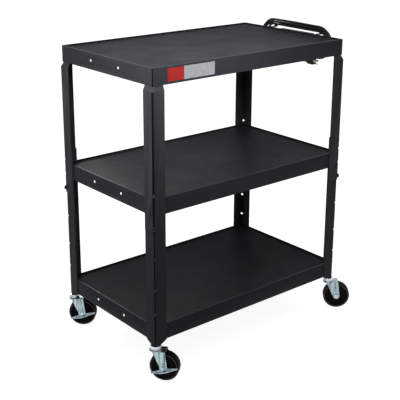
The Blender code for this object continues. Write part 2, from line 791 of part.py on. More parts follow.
def receptacle_places():
    """The middle of each receptacle along the housing."""
    return [HOUSING_FRONT_END + RECEPTACLE_PITCH * (i + 1 / 2) for i in range(RECEPTACLE_COUNT)]


def receptacle_outline(y, gap):
    middle = HOUSING_TOP - HOUSING_HEIGHT / 2
    half_width = RECEPTACLE_WIDTH / 2 + gap
    half_height = RECEPTACLE_HEIGHT / 2 + gap
    return round_rectangle(
        y - half_width, middle - half_height, y + half_width, middle + half_height, RECEPTACLE_RADIUS
    )


def screw_places():
    return [(FRAME_DEPTH + side * END_HOLE_SPACING) / 2 for side in (-1, 1)]


def make_housing(cart):
    """A box that is open on its face, with a screw hole in its back at each end hole of the apron."""
    def ring(inset, x):
        outline = round_rectangle(
            HOUSING_FRONT_END + inset,
            HOUSING_TOP - HOUSING_HEIGHT + inset,
            HOUSING_BACK_END - inset,
            HOUSING_TOP - inset,
            HOUSING_CORNER_RADIUS - inset,
        )
        return at_x(outline, x)

    shell = Solid().loft([
        ring(HOUSING_WALL, HOUSING_BACK + HOUSING_WALL),
        ring(HOUSING_WALL, HOUSING_FACE),
        ring(0, HOUSING_FACE),
        ring(0, HOUSING_BACK),
    ])
    housing = make("outlet_housing", shell, cart, BLACK_PAINT)
    holes = Solid()
    for y in screw_places():
        z = TOP_HEIGHT - END_HOLE_DROP
        holes.rod(
            (HOUSING_BACK - CUT_OVERRUN, y, z),
            (HOUSING_BACK + HOUSING_WALL + CUT_OVERRUN, y, z),
            SCREW_RADIUS + FIT_GAP,
        )
    return cut(housing, holes, "holes")


def make_faceplate(cart):
    back = HOUSING_FACE + FIT_GAP
    outline = round_rectangle(
        HOUSING_FRONT_END,
        HOUSING_TOP - HOUSING_HEIGHT,
        HOUSING_BACK_END,
        HOUSING_TOP,
        HOUSING_CORNER_RADIUS,
    )
    plate = Solid().loft([at_x(outline, back), at_x(outline, back + FACEPLATE_THICKNESS)])
    faceplate = make("outlet_faceplate", plate, cart, BLACK_PAINT)
    windows = Solid()
    for y in receptacle_places():
        outline = receptacle_outline(y, FIT_GAP)
        window = [
            at_x(outline, back - CUT_OVERRUN),
            at_x(outline, back + FACEPLATE_THICKNESS + CUT_OVERRUN),
        ]
        windows.loft(window)
    return cut(faceplate, windows, "windows")


def make_receptacle(number, y, cart):
    """A grounded receptacle: two upright slots and a round hole below them."""
    face = HOUSING_FACE + FIT_GAP + FACEPLATE_THICKNESS + RECEPTACLE_PROUD
    outline = receptacle_outline(y, 0)
    block = Solid().loft([at_x(outline, face - RECEPTACLE_DEPTH), at_x(outline, face)])
    receptacle = make(f"receptacle_{number}", block, cart, BLACK_MOULDING)
    middle = HOUSING_TOP - HOUSING_HEIGHT / 2
    holes = Solid()
    for side in (-1, 1):
        slot_y = y + side * SLOT_SPACING / 2
        slot_z = middle + SLOT_RISE
        holes.box(
            (face - SLOT_DEPTH, slot_y - SLOT_WIDTH / 2, slot_z - SLOT_HEIGHT / 2),
            (face + CUT_OVERRUN, slot_y + SLOT_WIDTH / 2, slot_z + SLOT_HEIGHT / 2),
        )
    ground_z = middle - GROUND_DROP
    holes.rod((face - SLOT_DEPTH, y, ground_z), (face + CUT_OVERRUN, y, ground_z), GROUND_RADIUS)
    return cut(receptacle, holes, "slots")


def make_housing_screws(cart):
    """Screws put in from inside the top apron."""
    head_face = APRON_OUTSIDE - SHEET_THICKNESS - FIT_GAP
    crown_share = 0.6
    for name, y in zip(("front", "rear"), screw_places()):
        screw = Solid().turned((head_face, y, TOP_HEIGHT - END_HOLE_DROP), (1, 0, 0), [
            (SCREW_HEAD_RADIUS * crown_share, -SCREW_HEAD_HEIGHT),
            (SCREW_HEAD_RADIUS, -SCREW_HEAD_HEIGHT / 2),
            (SCREW_HEAD_RADIUS, 0),
            (SCREW_RADIUS, 0),
            (SCREW_RADIUS, SCREW_LENGTH),
        ], SMALL_SIDES)
        make(f"outlet_screw_{name}", screw, cart, ZINC, 50)


def make_cord_wraps(cart):
    """A channel bracket at each end of the hank, its tips turned away from the coil."""
    tip_inside = HANK_OUTER_LAYER + CORD_RADIUS + WRAP_TIP_GAP
    tip_outside = tip_inside + WRAP_SHEET
    web_outside = WRAP_BACK + WRAP_SHEET
    half = HANK_START_RADIUS - CORD_RADIUS - WRAP_CORD_GAP
    low = HANK_MIDDLE_HEIGHT - half
    high = HANK_MIDDLE_HEIGHT + half
    outline = [
        (WRAP_BACK, low),
        (tip_inside, low),
        (tip_inside, low - WRAP_TIP),
        (tip_outside, low - WRAP_TIP),
        (tip_outside, low + WRAP_SHEET),
        (web_outside, low + WRAP_SHEET),
        (web_outside, high - WRAP_SHEET),
        (tip_outside, high - WRAP_SHEET),
        (tip_outside, high + WRAP_TIP),
        (tip_inside, high + WRAP_TIP),
        (tip_inside, high),
        (WRAP_BACK, high),
    ]
    for name, y in (("front", HANK_FRONT + WRAP_SETBACK), ("rear", HANK_BACK - WRAP_SETBACK)):
        bracket = Solid().loft([at_y(outline, y - WRAP_WIDTH / 2), at_y(outline, y + WRAP_WIDTH / 2)])
        make(f"cord_wrap_{name}", bracket, cart, BLACK_PAINT)


def make_gland(cart):
    """The strain relief where the cord leaves the housing: a collar and a boot that tapers to the cord."""
    start = (GLAND_X, HOUSING_BACK_END + FIT_GAP, GLAND_HEIGHT)
    gland = Solid().turned(start, (0, 1, 0), [
        (GLAND_RADIUS, 0),
        (GLAND_RADIUS, GLAND_COLLAR),
        (GLAND_NECK_RADIUS, GLAND_COLLAR),
        (CORD_RADIUS + GLAND_TIP_WALL, GLAND_LENGTH),
    ], SMALL_SIDES)
    make("cord_gland", gland, cart, BLACK_MOULDING, 50)


# Cord. Its free routes are points chosen by hand, from the apron's face and the hank's back bend.

ROUTE_START = Vector((APRON_OUTSIDE, HANK_BACK, HANK_MIDDLE_HEIGHT))
LEAD_ROUTE = [
    (0.0106, -0.0054, 0.0148),
    (0.0106, 0.0022, 0.0148),
    (0.0104, 0.0118, 0.0129),
    (0.0098, 0.0200, 0.0072),
    (0.0090, 0.0251, -0.0014),
    (0.0081, 0.0264, -0.0112),
    (0.0074, 0.0240, -0.0206),
    (0.0069, 0.0178, -0.0282),
    (0.0068, 0.0093, -0.0330),
    (0.0068, 0.0003, -0.0352),
    (0.0068, -0.0073, -0.0352),
]
TAIL_ROUTE = [
    (0.01544, -0.0073, 0.0392),
    (0.01544, 0.0003, 0.0392),
    (0.0182, 0.0126, 0.0361),
    (0.0224, 0.0270, 0.0285),
    (0.0240, 0.0413, 0.0150),
    (0.0240, 0.0500, -0.0005),
    (0.0240, 0.0524, -0.0192),
    (0.0240, 0.0453, -0.0453),
    (0.0240, 0.0250, -0.0655),
    (0.0240, 0.0000, -0.0739),
    (0.0240, -0.0340, -0.0760),
    (0.0240, -0.0790, -0.0760),
    (0.0240, -0.1190, -0.0743),
    (0.0240, -0.1431, -0.0735),
    (0.0240, -0.1507, -0.0735),
]


def smooth_route(route, spacing):
    """Points at a steady spacing on a smooth curve through a route whose end legs stay straight."""
    spots = [ROUTE_START + Vector(point) for point in route]
    last = len(spots) - 2

    def slope(i):
        if i == 1:
            return (spots[1] - spots[0]).normalized() * (spots[2] - spots[1]).length
        if i == last:
            return (spots[-1] - spots[last]).normalized() * (spots[last] - spots[last - 1]).length
        return (spots[i + 1] - spots[i - 1]) / 2

    dense_steps = 24
    fine = [spots[1]]
    for i in range(1, last):
        for step in range(1, dense_steps + 1):
            fine.append(curve_point(spots[i], slope(i), spots[i + 1], slope(i + 1), step / dense_steps))
    lengths = [0.0]
    for first, second in zip(fine, fine[1:]):
        lengths.append(lengths[-1] + (second - first).length)
    count = round(lengths[-1] / spacing)
    points = [spots[0], spots[1]]
    for i in range(1, count):
        distance = lengths[-1] * i / count
        k = max(k for k, length in enumerate(lengths) if length <= distance)
        share = (distance - lengths[k]) / (lengths[k + 1] - lengths[k])
        points.append(fine[k].lerp(fine[k + 1], share))
    return points + [spots[last], spots[-1]]


def curve_point(start, start_slope, end, end_slope, t):
    """A point of the cubic from start to end with a given slope at each."""
    square = t * t
    cube = square * t
    return (
        start * (2 * cube - 3 * square + 1)
        + start_slope * (cube - 2 * square + t)
        + end * (3 * square - 2 * cube)
        + end_slope * (cube - square)
    )


def hank_radius(turns):
    """The spiral grows steadily up to its reversal and shrinks as steadily after it."""
    return HANK_LARGEST_RADIUS - STRAND_PITCH * abs(HANK_REVERSAL_TURNS - turns)


def hank_layer(turns):
    """The strand climbs to the outer layer along the run where the spiral reverses."""
    run_start = HANK_REVERSAL_TURNS - 1 / 8
    share = min(max((turns - run_start) * 4, 0), 1)
    eased = share * share * (3 - 2 * share)
    return HANK_INNER_LAYER + (HANK_OUTER_LAYER - HANK_INNER_LAYER) * eased


def hank_point(turns):
    """A point of the hank. Each turn is a run to the front, a bend, a run to the back and a bend."""
    radius = hank_radius(turns)
    part = (turns % 1) * 4
    if part < 1:
        y = HANK_BACK + (HANK_FRONT - HANK_BACK) * part
        z = -radius
    elif part < 2:
        angle = math.pi * (part - 1)
        y = HANK_FRONT - radius * math.sin(angle)
        z = -radius * math.cos(angle)
    elif part < 3:
        y = HANK_FRONT + (HANK_BACK - HANK_FRONT) * (part - 2)
        z = radius
    else:
        angle = math.pi * (part - 3)
        y = HANK_BACK + radius * math.sin(angle)
        z = radius * math.cos(angle)
    return Vector((hank_layer(turns), y, HANK_MIDDLE_HEIGHT + z))


def hank_stations():
    """Places along the hank in turns: more of them on the bends than on the straight runs."""
    stations = []
    quarters = round(HANK_TURNS * 4)
    for quarter in range(quarters):
        steps = BEND_STEPS if quarter % 2 else RUN_STEPS
        stations += [(quarter + i / steps) / 4 for i in range(steps)]
    return stations + [quarters / 4]


def hank_points():
    """The wound strand. It starts and ends on a run, with a straight leg of one cord width."""
    points = [hank_point(turns) for turns in hank_stations()]
    first, last = points[0], points[-1]
    along = Vector((0, CORD_DIAMETER, 0))
    return [first - along, first - along - along] + points[1:-1] + [last - along - along, last - along]


def least_gap(points):
    """The least gap between strands, from points close together along the middle of the tube."""
    steps = 6
    fine = []
    for first, second in zip(points, points[1:]):
        fine += [first.lerp(second, i / steps) for i in range(steps)]
    along = [0.0]
    for first, second in zip(fine, fine[1:]):
        along.append(along[-1] + (second - first).length)
    least = None
    for i, point in enumerate(fine):
        for j in range(i + 1, len(fine)):
            if along[j] - along[i] < HANK_HEIGHT:
                continue
            distance = (fine[j] - point).length
            if least is None or distance < least:
                least = distance
    return least - CORD_DIAMETER


def make_tube(name, points, bevel_resolution, cart):
    curve = bpy.data.curves.new(name, "CURVE")
    curve.dimensions = "3D"
    curve.bevel_depth = CORD_RADIUS
    curve.bevel_resolution = bevel_resolution
    curve.use_fill_caps = True
    spline = curve.splines.new("POLY")
    spline.points.add(len(points) - 1)
    for spot, point in zip(spline.points, points):
        spot.co = (*point, 1)
    spline.use_smooth = True
    obj = bpy.data.objects.new(name, curve)
    bpy.context.collection.objects.link(obj)
    obj.parent = cart
    paint(obj, CORD_JACKET)
    return obj


def make_cord(cart):
    lead = smooth_route(LEAD_ROUTE, CORD_DIAMETER)
    hank = hank_points()
    tail = smooth_route(TAIL_ROUTE, CORD_DIAMETER)
    make_tube("cord_lead", lead, 2, cart)
    make_tube("cord_hank", hank, 1, cart)
    make_tube("cord_tail", tail, 2, cart)
    total = 0.0
    for points in (lead, hank, tail):
        total += sum((second - first).length for first, second in zip(points, points[1:]))
    print("least gap of the hank to itself, m:", round(least_gap(hank), 6))
    print("cord length outside the housing, m:", round(total, 3))
    for label, points in (("lead", lead), ("hank", hank), ("tail", tail)):
        first = [round(value, 5) for value in points[0]]
        last = [round(value, 5) for value in points[-1]]
        print(label, len(points), "points from", first, "to", last)


# Plug.


def oval(half_width, half_height, y, power):
    """A ring in a plane across Y: a circle at a power of 2, squarer above it."""
    ring = []
    for i in range(SMALL_SIDES):
        angle = math.tau * (i + 1 / 2) / SMALL_SIDES
        c = math.cos(angle)
        s = math.sin(angle)
        x = half_width * math.copysign(abs(c) ** (2 / power), c)
        z = half_height * math.copysign(abs(s) ** (2 / power), s)
        ring.append((PLUG_X + x, y, PLUG_AXIS_HEIGHT + z))
    return ring


def make_plug(cart):
    """A moulded plug that tapers to the cord, with two blades and a round ground pin."""
    neck_share = 0.14
    flare_share = 0.40
    full_share = 0.66
    waist_share = 0.78
    half_width = PLUG_WIDTH / 2
    half_height = PLUG_HEIGHT / 2
    neck = PLUG_NECK_RADIUS
    neck_end = PLUG_BACK - PLUG_LENGTH * neck_share
    flare = PLUG_BACK - PLUG_LENGTH * flare_share
    full = PLUG_BACK - PLUG_LENGTH * full_share
    face = PLUG_BACK - PLUG_LENGTH
    body = Solid().loft([
        oval(neck, neck, PLUG_BACK, ROUND_POWER),
        oval(neck, neck, neck_end, ROUND_POWER),
        oval(half_width * waist_share, half_height * waist_share, flare, WAIST_POWER),
        oval(half_width, half_height, full, GRIP_POWER),
        oval(half_width, half_height, face, GRIP_POWER),
    ])
    make("plug_body", body, cart, BLACK_MOULDING, 40)
    tip = face - FIT_GAP - BLADE_LENGTH
    for name, side in (("inner", -1), ("outer", 1)):
        x = PLUG_X + side * BLADE_SPACING / 2
        z = PLUG_AXIS_HEIGHT + BLADE_RISE
        blade = Solid().box(
            (x - BLADE_THICKNESS / 2, tip, z - BLADE_WIDTH / 2),
            (x + BLADE_THICKNESS / 2, face - FIT_GAP, z + BLADE_WIDTH / 2),
        )
        make(f"plug_blade_{name}", blade, cart, NICKEL)
    z = PLUG_AXIS_HEIGHT - PIN_DROP
    pin = Solid().turned((PLUG_X, face - FIT_GAP, z), (0, -1, 0), [
        (PIN_RADIUS, 0),
        (PIN_RADIUS, PIN_LENGTH - PIN_RADIUS),
        (PIN_RADIUS / 2, PIN_LENGTH),
    ], SMALL_SIDES)
    make("plug_ground_pin", pin, cart, NICKEL, 50)


CORD_PIECES = (
    "cord_lead",
    "cord_hank",
    "cord_tail",
    "plug_body",
    "plug_blade_inner",
    "plug_blade_outer",
    "plug_ground_pin",
)


def centre_over_origin(cart):
    """Moves the cart so that its box, without the cord and plug, is centred over the origin."""
    bpy.context.view_layer.update()
    graph = bpy.context.evaluated_depsgraph_get()
    spots = []
    for obj in bpy.data.objects:
        if obj.type != "MESH" or obj.hide_render or obj.name in CORD_PIECES:
            continue
        placed = obj.evaluated_get(graph)
        spots += [placed.matrix_world @ vertex.co for vertex in placed.data.vertices]
    for axis in (0, 1):
        values = [spot[axis] for spot in spots]
        cart.location[axis] = -(min(values) + max(values)) / 2
    bpy.context.view_layer.update()


def print_places():
    """The places that a record of this part gives: swivels, axles and the shelves' middles."""
    for obj in bpy.data.objects:
        if obj.name.startswith(("swivel_", "axle_place_")):
            place = [round(value, 6) for value in obj.matrix_world.translation]
            axis = [round(value, 6) for value in obj.matrix_world.to_3x3() @ Vector((0, 1, 0))]
            print(obj.name, "at", place, "across", axis)
    cart = bpy.data.objects["cart"].location
    print("cart moved by", [round(value, 6) for value in cart])


def main():
    clear_scene()
    cart = empty("cart", None)
    make_shelf("top_shelf", TOP_HEIGHT, cart)
    make_shelf("middle_shelf", MIDDLE_HEIGHT, cart, corner_holes=True)
    make_shelf("lower_shelf", LOWER_HEIGHT, cart)
    for corner in CORNERS:
        make_upper_leg(corner, cart)
        make_lower_leg(corner, cart)
        make_height_bolt(corner, cart)
    make_caster((False, False), FRONT_LEFT_HEADING, cart, True)
    make_caster((True, False), FRONT_RIGHT_HEADING, cart, False)
    make_caster((False, True), REAR_LEFT_HEADING, cart, True)
    make_caster((True, True), REAR_RIGHT_HEADING, cart, False)
    make_sticker(cart)
    make_housing(cart)
    make_faceplate(cart)
    for number, y in enumerate(receptacle_places(), 1):
        make_receptacle(number, y, cart)
    make_housing_screws(cart)
    make_cord_wraps(cart)
    make_gland(cart)
    make_cord(cart)
    make_plug(cart)
    centre_over_origin(cart)
    print_places()


main()
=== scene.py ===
"""Looks of the audio visual cart: its finishes, wheels, cord, light and camera.

Lengths are in metres with Z up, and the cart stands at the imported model's place.
"""

import json
import math

import bmesh
import bpy
from mathutils import Matrix, Vector

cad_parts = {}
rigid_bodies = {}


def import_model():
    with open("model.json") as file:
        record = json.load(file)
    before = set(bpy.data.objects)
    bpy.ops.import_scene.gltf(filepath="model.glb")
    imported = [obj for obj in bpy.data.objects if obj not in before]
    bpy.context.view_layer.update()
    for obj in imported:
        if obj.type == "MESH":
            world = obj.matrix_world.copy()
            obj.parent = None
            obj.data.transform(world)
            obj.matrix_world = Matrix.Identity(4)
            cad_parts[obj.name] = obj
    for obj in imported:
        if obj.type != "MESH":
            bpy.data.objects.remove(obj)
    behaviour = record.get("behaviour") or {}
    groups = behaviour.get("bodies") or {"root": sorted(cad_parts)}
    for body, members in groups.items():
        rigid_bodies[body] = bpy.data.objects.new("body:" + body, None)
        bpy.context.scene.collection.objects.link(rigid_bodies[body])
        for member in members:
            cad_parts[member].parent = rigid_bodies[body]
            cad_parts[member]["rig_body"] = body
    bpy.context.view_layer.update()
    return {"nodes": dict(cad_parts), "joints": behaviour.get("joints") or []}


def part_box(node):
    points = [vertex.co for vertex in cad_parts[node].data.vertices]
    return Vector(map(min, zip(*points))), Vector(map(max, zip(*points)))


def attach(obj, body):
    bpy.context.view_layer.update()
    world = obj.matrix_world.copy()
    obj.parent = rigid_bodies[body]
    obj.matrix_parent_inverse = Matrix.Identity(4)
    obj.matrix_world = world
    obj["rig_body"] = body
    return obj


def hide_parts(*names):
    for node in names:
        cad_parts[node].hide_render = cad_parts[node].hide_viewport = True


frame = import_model()
joints = {joint["name"]: joint for joint in frame["joints"]}

CORNERS = ("front_left", "front_right", "rear_left", "rear_right")
BRAKED = ("front_left", "rear_left")

# From the source's axes, at the frame's front left corner on the floor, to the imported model's.
CART_SHIFT = Vector((-0.426317, -0.220623, 0))


# Camera, at the photograph's viewing angle. Its place is in the source's axes.

CAMERA_PLACE = Vector((-1.46976, -1.97506, 1.48389))
CAMERA_YAW = math.radians(39.834)
CAMERA_PITCH = math.radians(17.091)
CAMERA_ROLL = math.radians(0.236)
CAMERA_LENS = 79.88
CAMERA_FILM_WIDTH = 36
CAMERA_SHIFT_UP = -0.105
CAMERA_NEAREST = 0.05
CAMERA_FARTHEST = 60


def make_camera():
    camera = bpy.data.objects.new("camera", bpy.data.cameras.new("camera"))
    bpy.context.collection.objects.link(camera)
    camera.location = CAMERA_PLACE + CART_SHIFT
    heading = Matrix.Rotation(-CAMERA_YAW, 3, "Z")
    tilt = Matrix.Rotation(math.pi / 2 - CAMERA_PITCH, 3, "X")
    roll = Matrix.Rotation(CAMERA_ROLL, 3, "Z")
    camera.rotation_euler = (heading @ tilt @ roll).to_euler()
    camera.data.lens = CAMERA_LENS
    camera.data.sensor_width = CAMERA_FILM_WIDTH
    camera.data.shift_y = CAMERA_SHIFT_UP
    camera.data.clip_start = CAMERA_NEAREST
    camera.data.clip_end = CAMERA_FARTHEST
    bpy.context.scene.camera = camera


make_camera()


# Node helpers.

# Most of a noise texture's values lie between these two.
NOISE_LOW = 0.25
NOISE_HIGH = 0.75

BUMP_DEPTH = 0.0003

# Positions on what a mask measures, each with the mask's grey level there.
CREASE_SHADE_STOPS = [(0.08, 0.0), (0.24, 1.0)]
JOGGLE_LIGHT_STOPS = [(0.05, 0.0), (0.15, 1.0), (0.60, 1.0), (0.80, 0.0)]


def add_node(tree, kind, settings=None, **inputs):
    """A shader node. Settings are its own properties.

    An input is named, or numbered as in _0, and takes a value or another node's output.
    """
    node = tree.nodes.new(kind)
    for name, value in (settings or {}).items():
        setattr(node, name, value)
    for name, value in inputs.items():
        number = name[1:]
        socket = node.inputs[int(number)] if number.isdigit() else node.inputs[name.replace("_", " ")]
        if isinstance(value, bpy.types.NodeSocket):
            tree.links.new(value, socket)
        else:
            socket.default_value = value
    return node


def ramp(tree, value, stops):
    """A ramp of greys. Stops are pairs of a position and a grey level."""
    node = add_node(tree, "ShaderNodeValToRGB", Fac=value)
    elements = node.color_ramp.elements
    while len(elements) < len(stops):
        elements.new(0.5)
    for element, (position, grey) in zip(elements, stops):
        element.position = position
        element.color = (grey, grey, grey, 1)
    return node.outputs["Color"]


def noise(tree, scale, detail=3.0, roughness=0.5, stretch=None):
    """Noise over the object's own coordinates, stretched along an axis if asked."""
    place = add_node(tree, "ShaderNodeTexCoord").outputs["Object"]
    if stretch:
        place = add_node(tree, "ShaderNodeMapping", Vector=place, Scale=stretch).outputs["Vector"]
    texture = add_node(
        tree, "ShaderNodeTexNoise", Vector=place, Scale=scale, Detail=detail, Roughness=roughness
    )
    return texture.outputs["Fac"]


def between(tree, value, low, high):
    """A noise's usual range, spread from low to high and kept there."""
    spread = add_node(tree, "ShaderNodeMapRange", Value=value)
    spread.inputs["From Min"].default_value = NOISE_LOW
    spread.inputs["From Max"].default_value = NOISE_HIGH
    spread.inputs["To Min"].default_value = low
    spread.inputs["To Max"].default_value = high
    return spread.outputs["Result"]


def mixed(tree, factor, first, second):
    """A mix of two colours, each of them three values or another node's output."""
    mix = add_node(tree, "ShaderNodeMix", {"data_type": "RGBA"})
    for index, value in ((0, factor), (6, first), (7, second)):
        if isinstance(value, bpy.types.NodeSocket):
            tree.links.new(value, mix.inputs[index])
        else:
            mix.inputs[index].default_value = (*value, 1)
    return mix.outputs[2]


def bump(tree, height, strength, distance=BUMP_DEPTH):
    return add_node(
        tree, "ShaderNodeBump", Height=height, Strength=strength, Distance=distance
    ).outputs["Normal"]


def new_material(name):
    material = bpy.data.materials.new(name)
    material.use_nodes = True
    tree = material.node_tree
    return material, tree, tree.nodes["Principled BSDF"]


def connect(tree, shader, **sockets):
    """Sets the shader's inputs, each to a value or to another node's output."""
    for name, value in sockets.items():
        socket = shader.inputs[name.replace("_", " ")]
        if isinstance(value, bpy.types.NodeSocket):
            tree.links.new(value, socket)
        else:
            socket.default_value = value


def edge_mask(tree, low, high):
    """White on convex edges, black elsewhere."""
    pointy = add_node(tree, "ShaderNodeNewGeometry").outputs["Pointiness"]
    return ramp(tree, pointy, [(low, 0.0), (high, 1.0)])


def facing(tree):
    """The direction a face looks in, as separate X, Y and Z outputs."""
    normal = add_node(tree, "ShaderNodeNewGeometry").outputs["True Normal"]
    return add_node(tree, "ShaderNodeSeparateXYZ", Vector=normal).outputs


def crease_shade_mask(tree):
    """White where a surface faces between two walls, as the outside of a folded angle does. The paint darkens
    there as painted shade.
    """
    look = facing(tree)
    product = add_node(tree, "ShaderNodeMath", {"operation": "MULTIPLY"}, _0=look["X"], _1=look["Y"])
    size = add_node(tree, "ShaderNodeMath", {"operation": "ABSOLUTE"}, _0=product.outputs[0])
    return ramp(tree, size.outputs[0], CREASE_SHADE_STOPS)


def joggle_light_mask(tree):
    """White where a surface leans back and looks partly up, as the joggled top of a leg does. The paint is
    lighter there as a painted highlight, as if lit from above.
    """
    return ramp(tree, facing(tree)["Z"], JOGGLE_LIGHT_STOPS)


# Materials. Dark and light are the two ends of each one's uneven colour.

# Edges are the range of pointiness over which a convex edge shows. Its colour is the light end's, times
# rubbed or worn. A spread is how far the roughness varies.

# Painted shade: the creases of folded corners are painted nearly black.
CREASE_PAINTED_SHADE = (0.004, 0.004, 0.005)
PAINT_TINT = (0.48, 0.49, 0.56, 1)
PAINT_EDGES = (0.52, 0.60)
PAINT_RUBBED = 1.9
PAINT_SPREAD = 0.06
PAINT_PEEL = 0.12
ZINC_CONTRAST = 0.15
ZINC_SPREAD = 0.16
ZINC_GRAIN = 0.10
MOULDED_EDGES = (0.54, 0.64)
MOULDED_WORN = 2.2
FILM_RED = ((0.235, 0.0100, 0.0080), (0.310, 0.0150, 0.0120))
FILM_PALE = ((0.222, 0.224, 0.235), (0.307, 0.310, 0.324))
FILM_ROUGH = (0.32, 0.46)
FILM_GRAIN = 0.05
FILM_BUMP_DEPTH = 0.0002


def black_paint(name, dark, light, rough, specular, shade_creases=False, joggle_light=None):
    """Satin powder coat: fine orange peel, uneven gloss and rubbed edges.

    When asked, folded corners get painted shade, nearly black, and bends that look partly up get a lighter
    colour, a painted highlight as if lit from above.
    """
    material, tree, shader = new_material(name)
    cloud = noise(tree, scale=5.0, detail=5.0, roughness=0.6, stretch=(0.7, 1.6, 1.0))
    colour = mixed(tree, between(tree, cloud, 0.0, 1.0), dark, light)
    rubbed = tuple(PAINT_RUBBED * value for value in light)
    colour = mixed(tree, edge_mask(tree, *PAINT_EDGES), colour, rubbed)
    # Painted shade: darkens the crease of folded corners.
    if shade_creases:
        colour = mixed(tree, crease_shade_mask(tree), colour, CREASE_PAINTED_SHADE)
    # Painted highlight on bends that look partly up.
    if joggle_light:
        colour = mixed(tree, joggle_light_mask(tree), colour, joggle_light)
    smudge = noise(tree, scale=11.0, detail=5.0, roughness=0.6)
    peel = noise(tree, scale=620.0, detail=2.0)
    connect(
        tree,
        shader,
        Base_Color=colour,
        Roughness=between(tree, smudge, rough - PAINT_SPREAD, rough + PAINT_SPREAD),
        Normal=bump(tree, peel, PAINT_PEEL),
        Specular_IOR_Level=specular,
        Specular_Tint=PAINT_TINT,
    )
    return material


def zinc(name, dark, light, rough=0.26):
    """Bright zinc plate: a faint blue tint, cloudy spangle and fine rubbing marks."""
    material, tree, shader = new_material(name)
    cloud = noise(tree, scale=130.0, roughness=0.6, stretch=(1.0, 1.0, 0.18))
    grain = noise(tree, scale=420.0, roughness=0.6, stretch=(1.0, 1.0, 0.12))
    patches = between(tree, cloud, -ZINC_CONTRAST, 1 + ZINC_CONTRAST)
    connect(
        tree,
        shader,
        Base_Color=mixed(tree, patches, dark, light),
        Metallic=1.0,
        Roughness=between(tree, grain, rough, rough + ZINC_SPREAD),
        Normal=bump(tree, grain, ZINC_GRAIN),
    )
    return material


def moulded(name, dark, light, rough, grain_scale, grain_strength, specular):
    """Moulded plastic or rubber with a fine grain and worn edges. Rough is the range of its roughness."""
    material, tree, shader = new_material(name)
    cloud = noise(tree, scale=26.0, detail=4.0, roughness=0.6)
    grain = noise(tree, scale=grain_scale, detail=2.0)
    colour = mixed(tree, between(tree, cloud, 0.0, 1.0), dark, light)
    worn = tuple(MOULDED_WORN * value for value in light)
    connect(
        tree,
        shader,
        Base_Color=mixed(tree, edge_mask(tree, *MOULDED_EDGES), colour, worn),
        Roughness=between(tree, cloud, *rough),
        Normal=bump(tree, grain, grain_strength),
        Specular_IOR_Level=specular,
    )
    return material


def sticker_film(split):
    """A printed film: red at its left end, pale grey beyond a place along X, with faint handling marks."""
    material, tree, shader = new_material("sticker_film")
    place = add_node(tree, "ShaderNodeTexCoord").outputs["Object"]
    along = add_node(tree, "ShaderNodeSeparateXYZ", Vector=place).outputs["X"]
    pale = add_node(tree, "ShaderNodeMath", {"operation": "GREATER_THAN"}, _0=along, _1=split)
    rubbed = noise(tree, scale=90.0, detail=4.0, roughness=0.65)
    wear = between(tree, rubbed, 0.0, 1.0)
    red = mixed(tree, wear, *FILM_RED)
    grey = mixed(tree, wear, *FILM_PALE)
    connect(
        tree,
        shader,
        Base_Color=mixed(tree, pale.outputs[0], red, grey),
        Roughness=between(tree, rubbed, *FILM_ROUGH),
        Normal=bump(tree, noise(tree, scale=240.0), FILM_GRAIN, FILM_BUMP_DEPTH),
        Specular_IOR_Level=0.2,
    )
    return material


COAT = ((0.0215, 0.0217, 0.0262), (0.0295, 0.0298, 0.0350))
# Painted shade: the deck's coat is a darker copy of the same black coat as the aprons.
DECK_SHADED_COAT = ((0.0110, 0.0110, 0.0140), (0.0200, 0.0201, 0.0245))
# Painted shade: the nearly black inside of the lips and the pressed rims round the end holes.
FOLD_PAINTED_SHADE = ((0.0030, 0.0030, 0.0035), (0.0050, 0.0050, 0.0056))
# Painted highlight: the lighter colour of leg bends that look partly up, as if lit from above.
JOGGLE_PAINTED_LIGHT = (0.044, 0.0445, 0.053)

# Both coats paint shade into folded creases.
PAINT = black_paint("black_paint", *COAT, rough=0.46, specular=0.035, shade_creases=True)
LEG_PAINT = black_paint("leg_paint", *COAT, rough=0.46, specular=0.035, shade_creases=True, joggle_light=JOGGLE_PAINTED_LIGHT)
DECK_SHADED_PAINT = black_paint("deck_shaded_paint", *DECK_SHADED_COAT, rough=0.48, specular=0.021)
LIP_PAINT = black_paint("lip_paint", *COAT, rough=0.32, specular=0.25)
LIP_SHADE = black_paint("lip_painted_shade", *FOLD_PAINTED_SHADE, rough=0.50, specular=0.010)

ZINC = zinc("zinc_plate", (0.10, 0.15, 0.175), (0.50, 0.60, 0.65))
AXLE_ZINC = zinc("zinc_axle", (0.06, 0.17, 0.25), (0.60, 0.80, 0.90), rough=0.14)
# Painted light: the lever's zinc is a lighter copy of the forks' zinc, to make up for the dark tray it
# reflects.
LEVER_LIT_ZINC = zinc("zinc_lever_painted_light", (0.24, 0.31, 0.34), (0.66, 0.74, 0.78))
BRIGHT_ZINC = zinc("zinc_ring", (0.40, 0.43, 0.45), (0.88, 0.89, 0.90), rough=0.12)
SCREW_ZINC = zinc("zinc_bolt", (0.28, 0.32, 0.34), (0.52, 0.56, 0.58), rough=0.24)
NICKEL = zinc("nickel_plate", (0.16, 0.155, 0.15), (0.40, 0.39, 0.37), rough=0.18)

BLACK_OXIDE = moulded(
    "black_oxide",
    dark=(0.004, 0.004, 0.005),
    light=(0.009, 0.009, 0.010),
    rough=(0.10, 0.20),
    grain_scale=300.0,
    grain_strength=0.08,
    specular=0.14,
)
TREAD = moulded(
    "wheel_tread",
    dark=(0.0030, 0.0029, 0.0034),
    light=(0.0065, 0.0060, 0.0070),
    rough=(0.45, 0.62),
    grain_scale=500.0,
    grain_strength=0.20,
    specular=0.04,
)
